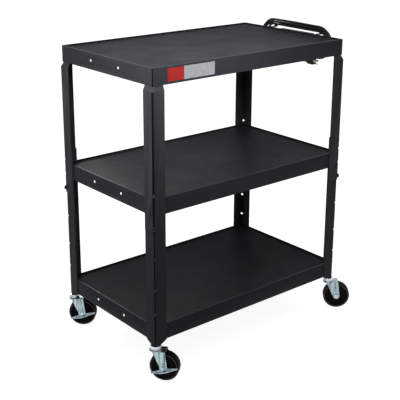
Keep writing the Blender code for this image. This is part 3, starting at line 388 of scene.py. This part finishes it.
# Painted highlight: a lighter grey ring on the wheel's side, standing for the shine along the tyre's
# shoulder.
WHEEL_RING_HIGHLIGHT = moulded(
    "wheel_ring_painted_highlight",
    dark=(0.09, 0.09, 0.10),
    light=(0.15, 0.15, 0.165),
    rough=(0.35, 0.50),
    grain_scale=500.0,
    grain_strength=0.12,
    specular=0.20,
)
JACKET = moulded(
    "cord_jacket",
    dark=(0.0035, 0.0035, 0.0040),
    light=(0.0075, 0.0075, 0.0082),
    rough=(0.34, 0.48),
    grain_scale=700.0,
    grain_strength=0.10,
    specular=0.14,
)
MOULDING = moulded(
    "black_moulding",
    dark=(0.0050, 0.0050, 0.0056),
    light=(0.0110, 0.0110, 0.0118),
    rough=(0.30, 0.44),
    grain_scale=800.0,
    grain_strength=0.12,
    specular=0.16,
)
OUTLET = moulded(
    "outlet_moulding",
    dark=(0.020, 0.020, 0.021),
    light=(0.034, 0.034, 0.036),
    rough=(0.30, 0.44),
    grain_scale=800.0,
    grain_strength=0.12,
    specular=0.40,
)


# Shapes. Angles are in degrees.

SMOOTH_ANGLE = 35.0
CUT_SMOOTH_ANGLE = 30.0
SHARP_ANGLE = 30.0
FLAT_ANGLE = 0.5
WELD_DISTANCE = 1e-6
BEVEL_SEGMENTS = 2
CORNER_STEPS = 8


def arc(centre, radius, start, end, steps):
    """Points of an arc in a plane."""
    points = []
    for i in range(steps + 1):
        angle = math.radians(start + (end - start) * i / steps)
        points.append((centre[0] + radius * math.cos(angle), centre[1] + radius * math.sin(angle)))
    return points


def round_rectangle(left, bottom, right, top, radius):
    return (
        arc((left + radius, bottom + radius), radius, 180, 270, CORNER_STEPS)
        + arc((right - radius, bottom + radius), radius, 270, 360, CORNER_STEPS)
        + arc((right - radius, top - radius), radius, 0, 90, CORNER_STEPS)
        + arc((left + radius, top - radius), radius, 90, 180, CORNER_STEPS)
    )


def shade(work, smooth_angle):
    """Smooth shading over a bmesh, apart from edges that turn by more than the angle."""
    for face in work.faces:
        face.smooth = True
    for edge in work.edges:
        edge.smooth = edge.calc_face_angle(0) < math.radians(smooth_angle)


def mesh_piece(name, points, faces, material):
    """An object from points and faces, smooth apart from its sharp edges."""
    mesh = bpy.data.meshes.new(name)
    mesh.from_pydata([tuple(point) for point in points], [], faces)
    work = bmesh.new()
    work.from_mesh(mesh)
    bmesh.ops.recalc_face_normals(work, faces=work.faces)
    shade(work, SMOOTH_ANGLE)
    work.to_mesh(mesh)
    work.free()
    piece = bpy.data.objects.new(name, mesh)
    bpy.context.collection.objects.link(piece)
    mesh.materials.append(material)
    return piece


def skin(rings, around=False):
    """Points and faces through rings with equal counts.

    End faces close it or, with around, the last ring joins the first.
    """
    count = len(rings[0])
    points = [Vector(point) for ring in rings for point in ring]
    faces = []
    pairs = len(rings) if around else len(rings) - 1
    for row in range(pairs):
        first = row * count
        second = (row + 1) % len(rings) * count
        for i in range(count):
            after = (i + 1) % count
            faces.append((first + i, first + after, second + after, second + i))
    if not around:
        faces.append(tuple(range(count)))
        faces.append(tuple(range(len(points) - count, len(points))))
    return points, faces


def lathe(name, origin, axis, profile, material, sides, around=False):
    """A solid of revolution. The profile gives radius and distance along the axis."""
    axis = Vector(axis).normalized()
    across = axis.orthogonal().normalized()
    aside = axis.cross(across)
    rings = []
    for radius, along in profile:
        ring = []
        for i in range(sides):
            angle = math.tau * i / sides
            out = across * math.cos(angle) + aside * math.sin(angle)
            ring.append(Vector(origin) + axis * along + out * radius)
        rings.append(ring)
    return mesh_piece(name, *skin(rings, around), material)


def stand_for(piece, *nodes):
    """The piece replaces these CAD nodes, and takes the body of the first."""
    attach(piece, frame["nodes"][nodes[0]]["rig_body"])
    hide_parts(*nodes)
    return piece


def rounded(node, material, width):
    """A copy of a CAD node with its sharp edges rounded. It stands for the node and rides with it."""
    work = bmesh.new()
    work.from_mesh(frame["nodes"][node].data)
    bmesh.ops.remove_doubles(work, verts=work.verts, dist=WELD_DISTANCE)
    flat = math.radians(FLAT_ANGLE)
    bmesh.ops.dissolve_limit(work, angle_limit=flat, verts=work.verts, edges=work.edges)
    points = [vertex.co.copy() for vertex in work.verts]
    faces = [tuple(vertex.index for vertex in face.verts) for face in work.faces]
    work.free()
    piece = mesh_piece(f"{node}_rounded", points, faces, material)
    bevel = piece.modifiers.new("round", "BEVEL")
    bevel.width = width
    bevel.segments = BEVEL_SEGMENTS
    bevel.limit_method = "ANGLE"
    bevel.angle_limit = math.radians(SHARP_ANGLE)
    bevel.harden_normals = True
    return stand_for(piece, node)


def cut_with(piece, cutters):
    """Cuts the pieces in cutters out of a piece, and removes them."""
    for cutter in cutters:
        change = piece.modifiers.new("cut", "BOOLEAN")
        change.operation = "DIFFERENCE"
        change.solver = "EXACT"
        change.object = cutter
    graph = bpy.context.evaluated_depsgraph_get()
    cut_mesh = bpy.data.meshes.new_from_object(piece.evaluated_get(graph))
    piece.modifiers.clear()
    piece.data = cut_mesh
    work = bmesh.new()
    work.from_mesh(cut_mesh)
    shade(work, CUT_SMOOTH_ANGLE)
    work.to_mesh(cut_mesh)
    work.free()
    for cutter in cutters:
        bpy.data.objects.remove(cutter)


# Cord: one unbroken strand from the outlet unit, wound round the brackets and down to the plug.

CORD_DIAMETER = 0.0076
CORD_ROUNDNESS = 5
APRON_OUTSIDE = 0.8082
HANK_FRONT = 0.121
HANK_BACK = 0.354
HANK_MIDDLE_HEIGHT = 0.9605
HANK_LARGEST_RADIUS = 0.0567
HANK_PITCH = 0.0082
HANK_REVERSAL_TURNS = 2.625
HANK_TURNS = 4.75
HANK_LAYERS = (0.8150, 0.8236)
HANK_BEND_STEPS = 20
HANK_RUN_STEPS = 6

# The free routes are listed points, from the apron's face and the hank's back bend.

ROUTE_START = Vector((APRON_OUTSIDE, HANK_BACK, HANK_MIDDLE_HEIGHT))
LEAD_SPACING = 0.004
LEAD_ROUTE = [
    (0.0106, -0.0054, 0.0148),
    (0.0106, 0.0022, 0.0148),
    (0.0104, 0.0118, 0.0129),
    (0.0098, 0.0200, 0.0072),
    (0.0090, 0.0251, -0.0014),
    (0.0081, 0.0264, -0.0112),
    (0.0074, 0.0240, -0.0206),
    (0.0069, 0.0178, -0.0282),
    (0.0068, 0.0093, -0.0330),
    (0.0068, 0.0003, -0.0352),
    (0.0068, -0.0073, -0.0352),
]
TAIL_SPACING = 0.006
TAIL_ROUTE = [
    (0.01544, -0.0073, 0.0392),
    (0.01544, 0.0003, 0.0392),
    (0.0182, 0.0126, 0.0361),
    (0.0224, 0.0270, 0.0285),
    (0.0240, 0.0413, 0.0150),
    (0.0240, 0.0500, -0.0005),
    (0.0240, 0.0524, -0.0192),
    (0.0240, 0.0453, -0.0453),
    (0.0240, 0.0250, -0.0655),
    (0.0240, 0.0000, -0.0739),
    (0.0240, -0.0340, -0.0760),
    (0.0240, -0.0790, -0.0760),
    (0.0240, -0.1190, -0.0743),
    (0.0240, -0.1431, -0.0735),
    (0.0240, -0.1507, -0.0735),
]


def curve_point(start, start_slope, end, end_slope, t):
    """A point of the cubic from start to end with a given slope at each."""
    square = t * t
    cube = square * t
    return (
        start * (2 * cube - 3 * square + 1)
        + start_slope * (cube - 2 * square + t)
        + end * (3 * square - 2 * cube)
        + end_slope * (cube - square)
    )


def smooth_route(route, spacing):
    """Points at a steady spacing on a smooth curve through a route whose end legs stay straight."""
    spots = [ROUTE_START + Vector(point) for point in route]
    last = len(spots) - 2

    def slope(i):
        if i == 1:
            return (spots[1] - spots[0]).normalized() * (spots[2] - spots[1]).length
        if i == last:
            return (spots[-1] - spots[last]).normalized() * (spots[last] - spots[last - 1]).length
        return (spots[i + 1] - spots[i - 1]) / 2

    points = [spots[0], spots[1]]
    for i in range(1, last):
        steps = max(1, round((spots[i + 1] - spots[i]).length / spacing))
        for step in range(1, steps + 1):
            points.append(curve_point(spots[i], slope(i), spots[i + 1], slope(i + 1), step / steps))
    return points + [spots[-1]]


def hank_point(turns):
    """A point of the hank. Each turn is a run to the front, a bend, a run to the back and a bend."""
    radius = HANK_LARGEST_RADIUS - HANK_PITCH * abs(HANK_REVERSAL_TURNS - turns)
    # The strand climbs to the outer layer in the quarter turn around its reversal.
    share = min(max((turns - HANK_REVERSAL_TURNS + 1 / 8) * 4, 0), 1)
    inner, outer = HANK_LAYERS
    x = inner + (outer - inner) * share * share * (3 - 2 * share)
    part = (turns % 1) * 4
    if part < 1:
        y, z = HANK_BACK + (HANK_FRONT - HANK_BACK) * part, -radius
    elif part < 2:
        angle = math.pi * (part - 1)
        y, z = HANK_FRONT - radius * math.sin(angle), -radius * math.cos(angle)
    elif part < 3:
        y, z = HANK_FRONT + (HANK_BACK - HANK_FRONT) * (part - 2), radius
    else:
        angle = math.pi * (part - 3)
        y, z = HANK_BACK + radius * math.sin(angle), radius * math.cos(angle)
    return Vector((x, y, HANK_MIDDLE_HEIGHT + z))


def hank_points():
    """Points through the hank, with straight ends that carry on from the lead and into the tail."""
    quarters = round(HANK_TURNS * 4)
    stations = []
    for quarter in range(quarters):
        steps = HANK_BEND_STEPS if quarter % 2 else HANK_RUN_STEPS
        stations += [(quarter + i / steps) / 4 for i in range(steps)]
    points = [hank_point(turns) for turns in stations + [quarters / 4]]
    along = Vector((0, CORD_DIAMETER, 0))
    first, last = points[0], points[-1]
    return [first - along, first - along * 2] + points[1:-1] + [last - along * 2, last - along]


def make_cord():
    """The cord, the place where it leaves the boot, and its length."""
    points = smooth_route(LEAD_ROUTE, LEAD_SPACING) + hank_points() + smooth_route(TAIL_ROUTE, TAIL_SPACING)
    points = [point + CART_SHIFT for point in points]
    length = sum((second - first).length for first, second in zip(points, points[1:]))
    curve = bpy.data.curves.new("cord", "CURVE")
    curve.dimensions = "3D"
    curve.bevel_depth = CORD_DIAMETER / 2
    curve.bevel_resolution = CORD_ROUNDNESS
    curve.use_fill_caps = True
    spline = curve.splines.new("POLY")
    spline.points.add(len(points) - 1)
    for spot, point in zip(spline.points, points):
        spot.co = (*point, 1)
    spline.use_smooth = True
    cord = bpy.data.objects.new("cord", curve)
    bpy.context.collection.objects.link(cord)
    curve.materials.append(JACKET)
    return cord, points[0], length


cord, cord_exit, cord_length = make_cord()
stand_for(cord, "cord_hank", "cord_lead", "cord_tail")


# Plug: a moulded grip with finger ribs, its blades and its ground pin.

PLUG_SIDES = 64
PLUG_ROUND = 2.0
PLUG_SQUARE = 3.4
BLADE_EDGE = 0.0004
NECK_RADIUS = 0.0062
RIB_COUNT = 4
RIB_START_SHARE = 0.58
RIB_PITCH_SHARE = 0.075

# Rows along the plug. A place is a share of its length from the cord end, and a rib's places are
# counted from the rib's own start. A neck row adds a share of the neck's radius. A taper row adds a
# share of the solid's half width and half height, and how square the plug is there. A rib row and a
# face row add a share of the half width and a share of the half height.

NECK_SHARES = [(0.0, 0.93), (0.012, 1.0), (0.14, 1.0)]
TAPER_SHARES = [(0.24, 0.62, 2.2), (0.33, 0.71, 2.4), (0.40, 0.79, 2.6), (0.52, 0.90, 3.0)]
RIB_SHARES = [(0.0, 0.975, 0.985), (0.012, 0.93, 0.95), (0.030, 0.93, 0.95), (0.042, 0.975, 0.985)]
FACE_SHARES = [(0.90, 1.0, 1.0), (0.985, 1.0, 1.0), (1.0, 0.95, 0.94)]


def oval_ring(centre, half_width, half_height, power):
    """A ring across Y: a circle at a power of 2, squarer above it."""
    ring = []
    for i in range(PLUG_SIDES):
        angle = math.tau * i / PLUG_SIDES
        c, s = math.cos(angle), math.sin(angle)
        x = half_width * math.copysign(abs(c) ** (2 / power), c)
        z = half_height * math.copysign(abs(s) ** (2 / power), s)
        ring.append(centre + Vector((x, 0, z)))
    return ring


def make_plug():
    low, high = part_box("plug_body")
    middle = (low + high) / 2
    length = high.y - low.y
    half_width = (high.x - low.x) / 2
    half_height = (high.z - low.z) / 2
    body = []
    for rib in range(RIB_COUNT):
        start = RIB_START_SHARE + RIB_PITCH_SHARE * rib
        body += [(start + share, width, height) for share, width, height in RIB_SHARES]
    body += FACE_SHARES
    rows = [(share, NECK_RADIUS * size, NECK_RADIUS * size, PLUG_ROUND) for share, size in NECK_SHARES]
    rows += [(share, half_width * size, half_height * size, power) for share, size, power in TAPER_SHARES]
    rows += [(share, half_width * width, half_height * height, PLUG_SQUARE) for share, width, height in body]
    rings = []
    for share, width, height, power in rows:
        centre = Vector((middle.x, high.y - length * share, middle.z))
        rings.append(oval_ring(centre, width, height, power))
    return stand_for(mesh_piece("plug_grip", *skin(rings), MOULDING), "plug_body")


plug_pieces = [make_plug()]
for name in ("plug_blade_inner", "plug_blade_outer", "plug_ground_pin"):
    plug_pieces.append(rounded(name, NICKEL, BLADE_EDGE))


# Shelves: one folded sheet each, with a rolled lip, round corners and two holes in each end.

SHEET = 0.0015
SHELF_CORNER = 0.003
SHELF_INNER_CORNER = 0.0004
LIP = 0.0035
LIP_RISE = 0.006
LIP_ROLL = 0.45 * LIP
LIP_TOP_ROUND = 0.0012
LIP_STEPS = 5
END_HOLE_ASIDE = 0.074
END_HOLE_DROP = 0.0255
END_HOLE_RADIUS = 0.0041
RIM_RADIUS = 0.0056
RIM_DEPTH = 0.0003
CUTTER_REACH = 0.006
CUTTER_FLARE = 0.0150
CUTTER_SIDES = 32
COLOUR_MARGIN = 0.0002

# The order of a shelf's materials, and how far up a face has to look to be of the deck or the lip.
DECK_INDEX = 1
LIP_INDEX = 2
SHADE_INDEX = 3
DECK_FACING = 0.5
LIP_FACING = 0.3

# How far in from the outside, and height above the apron's bottom edge.
APRON_EDGE_PROFILE = [(SHEET, 0.0004), (SHEET / 2, 0), (0.0003, 0.0002), (0, 0.0008)]

# How far in from the lip's inner face, and height above the deck.
LIP_FOOT_PROFILE = [(0, 0.0010), (0.0003, 0.0003), (0.0010, 0)]

# Radius, and distance along the cutter, which starts outside the apron. It presses the rim, cuts the
# hole and flares out behind its edge.
HOLE_CUTTER = [
    (RIM_RADIUS, 0),
    (RIM_RADIUS, CUTTER_REACH + RIM_DEPTH),
    (END_HOLE_RADIUS, CUTTER_REACH + RIM_DEPTH),
    (END_HOLE_RADIUS, CUTTER_REACH + 2 * RIM_DEPTH),
    (CUTTER_FLARE, 2 * CUTTER_REACH),
]


def shelf_profile(bottom, deck, top):
    """The folded sheet's outline: how far in from the outside, and how high."""
    profile = [(SHEET, deck - SHEET)]
    profile += [(inset, bottom + height) for inset, height in APRON_EDGE_PROFILE]
    profile += [(0.0, top - LIP_ROLL)]
    roll = arc((0, 0), LIP_ROLL, 0, 90, LIP_STEPS)[1:]
    profile += [(LIP_ROLL - x, top - LIP_ROLL + z) for x, z in roll]
    profile += arc((LIP - LIP_TOP_ROUND, top - LIP_TOP_ROUND), LIP_TOP_ROUND, 90, 0, LIP_STEPS)
    profile += [(LIP + inset, deck + height) for inset, height in LIP_FOOT_PROFILE]
    return profile


def colour_shelf(shelf, deck, top, rims):
    """Gives the deck, the lip's top, and the inside of the lip and of the rims their own paints. The deck's
    paint is a darker copy of the coat, and the inside of the lip and the rims are nearly black: both are
    painted shade.
    """
    for material in (DECK_SHADED_PAINT, LIP_PAINT, LIP_SHADE):
        shelf.data.materials.append(material)
    for face in shelf.data.polygons:
        place = face.center
        if place.z > deck + COLOUR_MARGIN:
            on_top = place.z > top - LIP_ROLL or face.normal.z > LIP_FACING
            # Lip faces that do not look up get painted shade.
            face.material_index = LIP_INDEX if on_top else SHADE_INDEX
        # Faces that look up get the deck's darker coat, painted shade.
        elif face.normal.z > DECK_FACING:
            face.material_index = DECK_INDEX
        # The pressed rims round the end holes get painted shade.
        elif min((place - rim).length for rim in rims) < RIM_RADIUS + COLOUR_MARGIN:
            face.material_index = SHADE_INDEX


def make_shelf(node):
    low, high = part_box(node)
    deck = high.z - LIP_RISE
    rings = []
    for inset, height in shelf_profile(low.z, deck, high.z):
        radius = max(SHELF_CORNER - inset, SHELF_INNER_CORNER)
        outline = round_rectangle(low.x + inset, low.y + inset, high.x - inset, high.y - inset, radius)
        rings.append([(x, y, height) for x, y in outline])
    shelf = mesh_piece(f"{node}_sheet", *skin(rings), PAINT)
    cutters = []
    rims = []
    middle = (low.y + high.y) / 2
    for x, inward in ((low.x, 1), (high.x, -1)):
        for side in (-1, 1):
            rim = Vector((x, middle + side * END_HOLE_ASIDE, high.z - END_HOLE_DROP))
            start = rim - Vector((inward * CUTTER_REACH, 0, 0))
            cutters.append(lathe("hole", start, (inward, 0, 0), HOLE_CUTTER, PAINT, CUTTER_SIDES))
            rims.append(rim)
    cut_with(shelf, cutters)
    colour_shelf(shelf, deck, high.z, rims)
    return stand_for(shelf, node)


for node in ("top_shelf", "middle_shelf", "lower_shelf"):
    make_shelf(node)


# Legs, outlet unit, brackets and fasteners: the solids with rounded edges.

LEG_EDGE = 0.0006
BOLT_EDGE = 0.0008
NUT_EDGE = 0.0006
FORK_EDGE = 0.0005
AXLE_EDGE = 0.0006
LEVER_EDGE = 0.0004
PLATE_EDGE = 0.0005
RECEPTACLE_EDGE = 0.0004
SCREW_EDGE = 0.0003

# The foot lever's own places are measured from the axle: along it, up, and to the side.

LEVER_FRONT = -0.0223
LEVER_FRONT_MARGIN = 0.0003
LEVER_TILT = math.radians(16)
FOOT_SHELF_CUT_SHARE = 0.38
FOOT_SHELF_UNDER = -0.0055
FOOT_SHELF_LIFT = 0.0022
LEVER_TIP_REACH = 0.030
LEVER_TIP_UNDER = -0.0080
LEVER_TIP_CUT = 0.0032


def slim_lever(corner, lever):
    """Draws the foot shelf nearer to the axle and shallower than in the solid, with thinner tips."""
    joint = joints[f"brake_{corner}"]
    centre = Vector(joint["pos_m"])
    axis = Vector(joint["axis"])
    up = Matrix.Rotation(-LEVER_TILT, 3, axis) @ Vector((0, 0, 1))
    aside = up.cross(axis)
    for vertex in lever.data.vertices:
        place = vertex.co - centre
        out = place.dot(axis)
        height = place.dot(up)
        if out < LEVER_FRONT - LEVER_FRONT_MARGIN:
            vertex.co -= FOOT_SHELF_CUT_SHARE * (out - LEVER_FRONT) * axis
        if height < FOOT_SHELF_UNDER:
            vertex.co += FOOT_SHELF_LIFT * up
        if abs(place.dot(aside)) > LEVER_TIP_REACH and height > LEVER_TIP_UNDER:
            vertex.co -= LEVER_TIP_CUT * up


for corner in CORNERS:
    rounded(f"upper_leg_{corner}", LEG_PAINT, LEG_EDGE)
    rounded(f"lower_leg_{corner}", LEG_PAINT, LEG_EDGE)
    rounded(f"height_bolt_{corner}", BLACK_OXIDE, BOLT_EDGE)
    rounded(f"height_nut_{corner}", BLACK_OXIDE, NUT_EDGE)
    rounded(f"fork_{corner}", ZINC, FORK_EDGE)
    rounded(f"axle_bolt_{corner}", AXLE_ZINC, AXLE_EDGE)
    rounded(f"axle_nut_{corner}", ZINC, NUT_EDGE)
for corner in BRAKED:
    slim_lever(corner, rounded(f"brake_lever_{corner}", LEVER_LIT_ZINC, LEVER_EDGE))
for name in ("outlet_housing", "outlet_faceplate", "cord_wrap_front", "cord_wrap_rear"):
    rounded(name, PAINT, PLATE_EDGE)
for name in ("receptacle_1", "receptacle_2", "receptacle_3"):
    rounded(name, OUTLET, RECEPTACLE_EDGE)
for name in ("outlet_screw_front", "outlet_screw_rear"):
    rounded(name, SCREW_ZINC, SCREW_EDGE)


# Sticker, with the same corners as its solid.

STICKER_RED_SHARE = 0.34
STICKER_EDGE = 0.0001


def make_sticker():
    low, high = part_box("apron_sticker")
    film = sticker_film(low.x + STICKER_RED_SHARE * (high.x - low.x))
    return rounded("apron_sticker", film, STICKER_EDGE)


make_sticker()


# Strain relief: a tapered ribbed boot on the gland's collar.

COLLAR_RADIUS = 0.0078
COLLAR_LENGTH = 0.003
COLLAR_EDGE = 0.0004
BOOT_SIDES = 48
BOOT_THICK = 0.0066
BOOT_THIN = 0.0047
BOOT_RIBS = 5
GROOVE_DEPTH = 0.0008
GROOVE_SHARE = 0.35
RIB_RISE_SHARE = 0.45
RIB_END_SHARE = 0.92
RIB_SLOPE = 0.0001
BOOT_END_STEP = 0.0003
BOOT_END_EDGE = 0.0002
BOOT_MOUTH = 0.0005


def make_gland():
    low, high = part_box("cord_gland")
    centre = ((low.x + high.x) / 2, low.y, (low.z + high.z) / 2)
    length = high.y - low.y
    pitch = (length - COLLAR_LENGTH) / (BOOT_RIBS + GROOVE_SHARE)
    profile = [
        (COLLAR_RADIUS - COLLAR_EDGE, 0),
        (COLLAR_RADIUS, COLLAR_EDGE),
        (COLLAR_RADIUS, COLLAR_LENGTH - COLLAR_EDGE),
        (COLLAR_RADIUS - COLLAR_EDGE, COLLAR_LENGTH),
        (BOOT_THICK, COLLAR_LENGTH),
    ]
    for rib in range(BOOT_RIBS):
        start = COLLAR_LENGTH + pitch * (rib + GROOVE_SHARE)
        radius = BOOT_THICK + (BOOT_THIN - BOOT_THICK) * (rib + GROOVE_SHARE) / BOOT_RIBS
        profile += [
            (radius - GROOVE_DEPTH, start),
            (radius - GROOVE_DEPTH, start + GROOVE_SHARE * pitch),
            (radius, start + RIB_RISE_SHARE * pitch),
            (radius - RIB_SLOPE, start + RIB_END_SHARE * pitch),
        ]
    profile += [(BOOT_THIN - BOOT_END_STEP, length - BOOT_END_EDGE), (CORD_DIAMETER / 2 + BOOT_MOUTH, length)]
    return stand_for(lathe("cord_boot", centre, (0, 1, 0), profile, MOULDING, BOOT_SIDES), "cord_gland")


make_gland()


# Casters: a bearing head of two pressed cups, and a wheel with a grooved side and a raised hub.

HEAD_SIDES = 72
HEAD_TOP = 0.1137
HEAD_NECK_RADIUS = 0.006
CUPS_ABOVE_RIVET = 0.0056
LOWER_CUP_ROUND = 0.0024
UPPER_CUP_ROUND = 0.0026
UPPER_CUP_END_ANGLE = 80
CUP_STEPS = 6
LOWER_CUP_FLAT_SHARE = 0.72
UPPER_CUP_FLAT_SHARE = 0.62
STEM_RADIUS = 0.00475
STEM_TIP_RADIUS = 0.0042
STEM_EDGE = 0.0005

# Radius, and height above the rivet's underside.
RIVET_PROFILE = [
    (0.0045, 0),
    (0.0072, 0.0004),
    (0.0088, 0.0014),
    (0.0090, 0.0025),
    (HEAD_NECK_RADIUS, 0.0025),
]

# Depth of the groove between the cups, and height above the lower cup's underside.
CUP_JOIN = [(0, 0.0048), (0.0006, 0.0054), (0.0020, 0.0056), (0.0020, 0.0064), (0.0006, 0.0066), (0, 0.0072)]

WHEEL_SIDES = 112
WHEEL_RADIUS = 0.0475
WHEEL_HALF_WIDTH = 0.015
HUB_HALF_WIDTH = 0.017
WHEEL_BORE = 0.00435
TREAD_ROUND = 0.0036
TREAD_END_ANGLE = 8
TREAD_ROUND_STEPS = 7
RING_INSIDE = 0.0417
RING_OUTSIDE = 0.0434

# Radius, and depth below the hub's end.
HUB_PROFILE = [(WHEEL_BORE, 0), (0.0098, 0), (0.0105, 0.0006)]

# Radius, and depth below the wheel's side: a dished web, a step, a fine groove and the flat of the rim.
WEB_PROFILE = [
    (0.0110, 0.0016),
    (0.0130, 0.0022),
    (0.0210, 0.0026),
    (0.0350, 0.0022),
    (0.0372, 0.0014),
    (0.0384, 0.0004),
    (0.0396, 0.0002),
    (0.0402, 0.0010),
    (0.0410, 0.0010),
    (0.0416, 0.0002),
    (0.0435, 0),
]


def make_caster_head(corner):
    low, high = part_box(f"caster_head_{corner}")
    x, y, _ = joints[f"swivel_{corner}"]["pos_m"]
    bottom = low.z + CUPS_ABOVE_RIVET
    radius = (high.x - low.x) / 2
    profile = [(r, low.z + height) for r, height in RIVET_PROFILE]
    profile += [(HEAD_NECK_RADIUS, bottom), (LOWER_CUP_FLAT_SHARE * radius, bottom)]
    round_centre = (radius - LOWER_CUP_ROUND, bottom + LOWER_CUP_ROUND)
    profile += arc(round_centre, LOWER_CUP_ROUND, 270, 360, CUP_STEPS)
    profile += [(radius - depth, bottom + height) for depth, height in CUP_JOIN]
    round_centre = (radius - UPPER_CUP_ROUND, HEAD_TOP - UPPER_CUP_ROUND)
    profile += arc(round_centre, UPPER_CUP_ROUND, 0, UPPER_CUP_END_ANGLE, CUP_STEPS)
    profile += [(UPPER_CUP_FLAT_SHARE * radius, HEAD_TOP), (STEM_RADIUS, HEAD_TOP)]
    profile += [(STEM_RADIUS, high.z - STEM_EDGE), (STEM_TIP_RADIUS, high.z)]
    piece = lathe(f"caster_head_{corner}_cups", (x, y, 0), (0, 0, 1), profile, BRIGHT_ZINC, HEAD_SIDES)
    return stand_for(piece, f"caster_head_{corner}")


def make_wheel(corner):
    joint = joints[f"roll_{corner}"]
    centre = Vector(joint["pos_m"])
    axis = Vector(joint["axis"])
    side = [(r, HUB_HALF_WIDTH - depth) for r, depth in HUB_PROFILE]
    side += [(r, WHEEL_HALF_WIDTH - depth) for r, depth in WEB_PROFILE]
    round_centre = (WHEEL_RADIUS - TREAD_ROUND, WHEEL_HALF_WIDTH - TREAD_ROUND)
    side += arc(round_centre, TREAD_ROUND, 90, TREAD_END_ANGLE, TREAD_ROUND_STEPS)
    profile = [(r, -along) for r, along in side] + list(reversed(side))
    piece = lathe(f"wheel_{corner}_tyre", centre, axis, profile, TREAD, WHEEL_SIDES, around=True)
    piece.data.materials.append(WHEEL_RING_HIGHLIGHT)
    # The flat annulus near the tyre gets the painted highlight ring.
    for face in piece.data.polygons:
        place = face.center - centre
        distance = (place - place.dot(axis) * axis).length
        face.material_index = int(RING_INSIDE < distance < RING_OUTSIDE)
    return stand_for(piece, f"wheel_{corner}")


for corner in CORNERS:
    make_caster_head(corner)
    make_wheel(corner)


# Stage: a pale floor and a pale room, white to the eye and in reflections, with soft light.

ROOM_LIGHT = 0.33
FLOOR_REACH = 14.0
FLOOR_GREY = 0.66
FLOOR_ROUGHNESS = 0.9
FLOOR_GLOW = 0.90
WHITE = (1, 1, 1, 1)


def seen(tree):
    """1 where a ray shows the surface, directly or in a reflection, and 0 where it only lights the object."""
    path = add_node(tree, "ShaderNodeLightPath").outputs
    larger = {"operation": "MAXIMUM"}
    first = add_node(tree, "ShaderNodeMath", larger, _0=path["Is Camera Ray"], _1=path["Is Glossy Ray"])
    both = add_node(tree, "ShaderNodeMath", larger, _0=first.outputs[0], _1=path["Is Transmission Ray"])
    return both.outputs[0]


def make_floor():
    mesh = bpy.data.meshes.new("floor")
    corners = [(-1, -1), (1, -1), (1, 1), (-1, 1)]
    mesh.from_pydata([(x * FLOOR_REACH, y * FLOOR_REACH, 0) for x, y in corners], [], [(0, 1, 2, 3)])
    floor = bpy.data.objects.new("floor", mesh)
    bpy.context.collection.objects.link(floor)
    material, tree, shader = new_material("floor")
    glow = add_node(tree, "ShaderNodeMath", {"operation": "MULTIPLY"}, _0=seen(tree), _1=FLOOR_GLOW)
    connect(
        tree,
        shader,
        Base_Color=(FLOOR_GREY, FLOOR_GREY, FLOOR_GREY, 1),
        Roughness=FLOOR_ROUGHNESS,
        Specular_IOR_Level=0,
        Emission_Color=WHITE,
        Emission_Strength=glow.outputs[0],
    )
    mesh.materials.append(material)


def make_world():
    world = bpy.data.worlds.new("studio")
    world.use_nodes = True
    tree = world.node_tree
    background = tree.nodes["Background"]
    background.inputs["Color"].default_value = WHITE
    strength = add_node(tree, "ShaderNodeMapRange", Value=seen(tree), To_Min=ROOM_LIGHT, To_Max=1.0)
    tree.links.new(strength.outputs["Result"], background.inputs["Strength"])
    bpy.context.scene.world = world


def make_lamp(name, place, aim, size, power, spread=180):
    """A soft lamp. A spread in degrees below 180 keeps its light near the line to what it aims at."""
    lamp = bpy.data.lights.new(name, "AREA")
    lamp.shape = "RECTANGLE"
    lamp.size, lamp.size_y = size
    lamp.energy = power
    lamp.spread = math.radians(spread)
    obj = bpy.data.objects.new(name, lamp)
    bpy.context.collection.objects.link(obj)
    obj.location = place
    obj.rotation_euler = (Vector(place) - Vector(aim)).to_track_quat("Z", "Y").to_euler()


make_floor()
make_world()
make_lamp(
    "key_left",
    place=(-1.45, -0.35, 1.55),
    aim=(-0.42, -0.12, 1.03),
    size=(0.4, 0.4),
    power=1.75,
    spread=44,
)
make_lamp(
    "key_front",
    place=(-0.58, -1.36, 1.60),
    aim=(-0.22, -0.22, 1.14),
    size=(0.4, 0.4),
    power=1.9,
    spread=44,
)
make_lamp("top", place=(0, 0, 2.4), aim=(0, 0, 0), size=(1.2, 0.9), power=7.5)
make_lamp(
    "back",
    place=(0.11, 1.30, 0.87),
    aim=(-0.38, 0.14, 0.42),
    size=(0.6, 0.3),
    power=0.7,
    spread=60,
)
bpy.context.scene.view_settings.view_transform = "Standard"
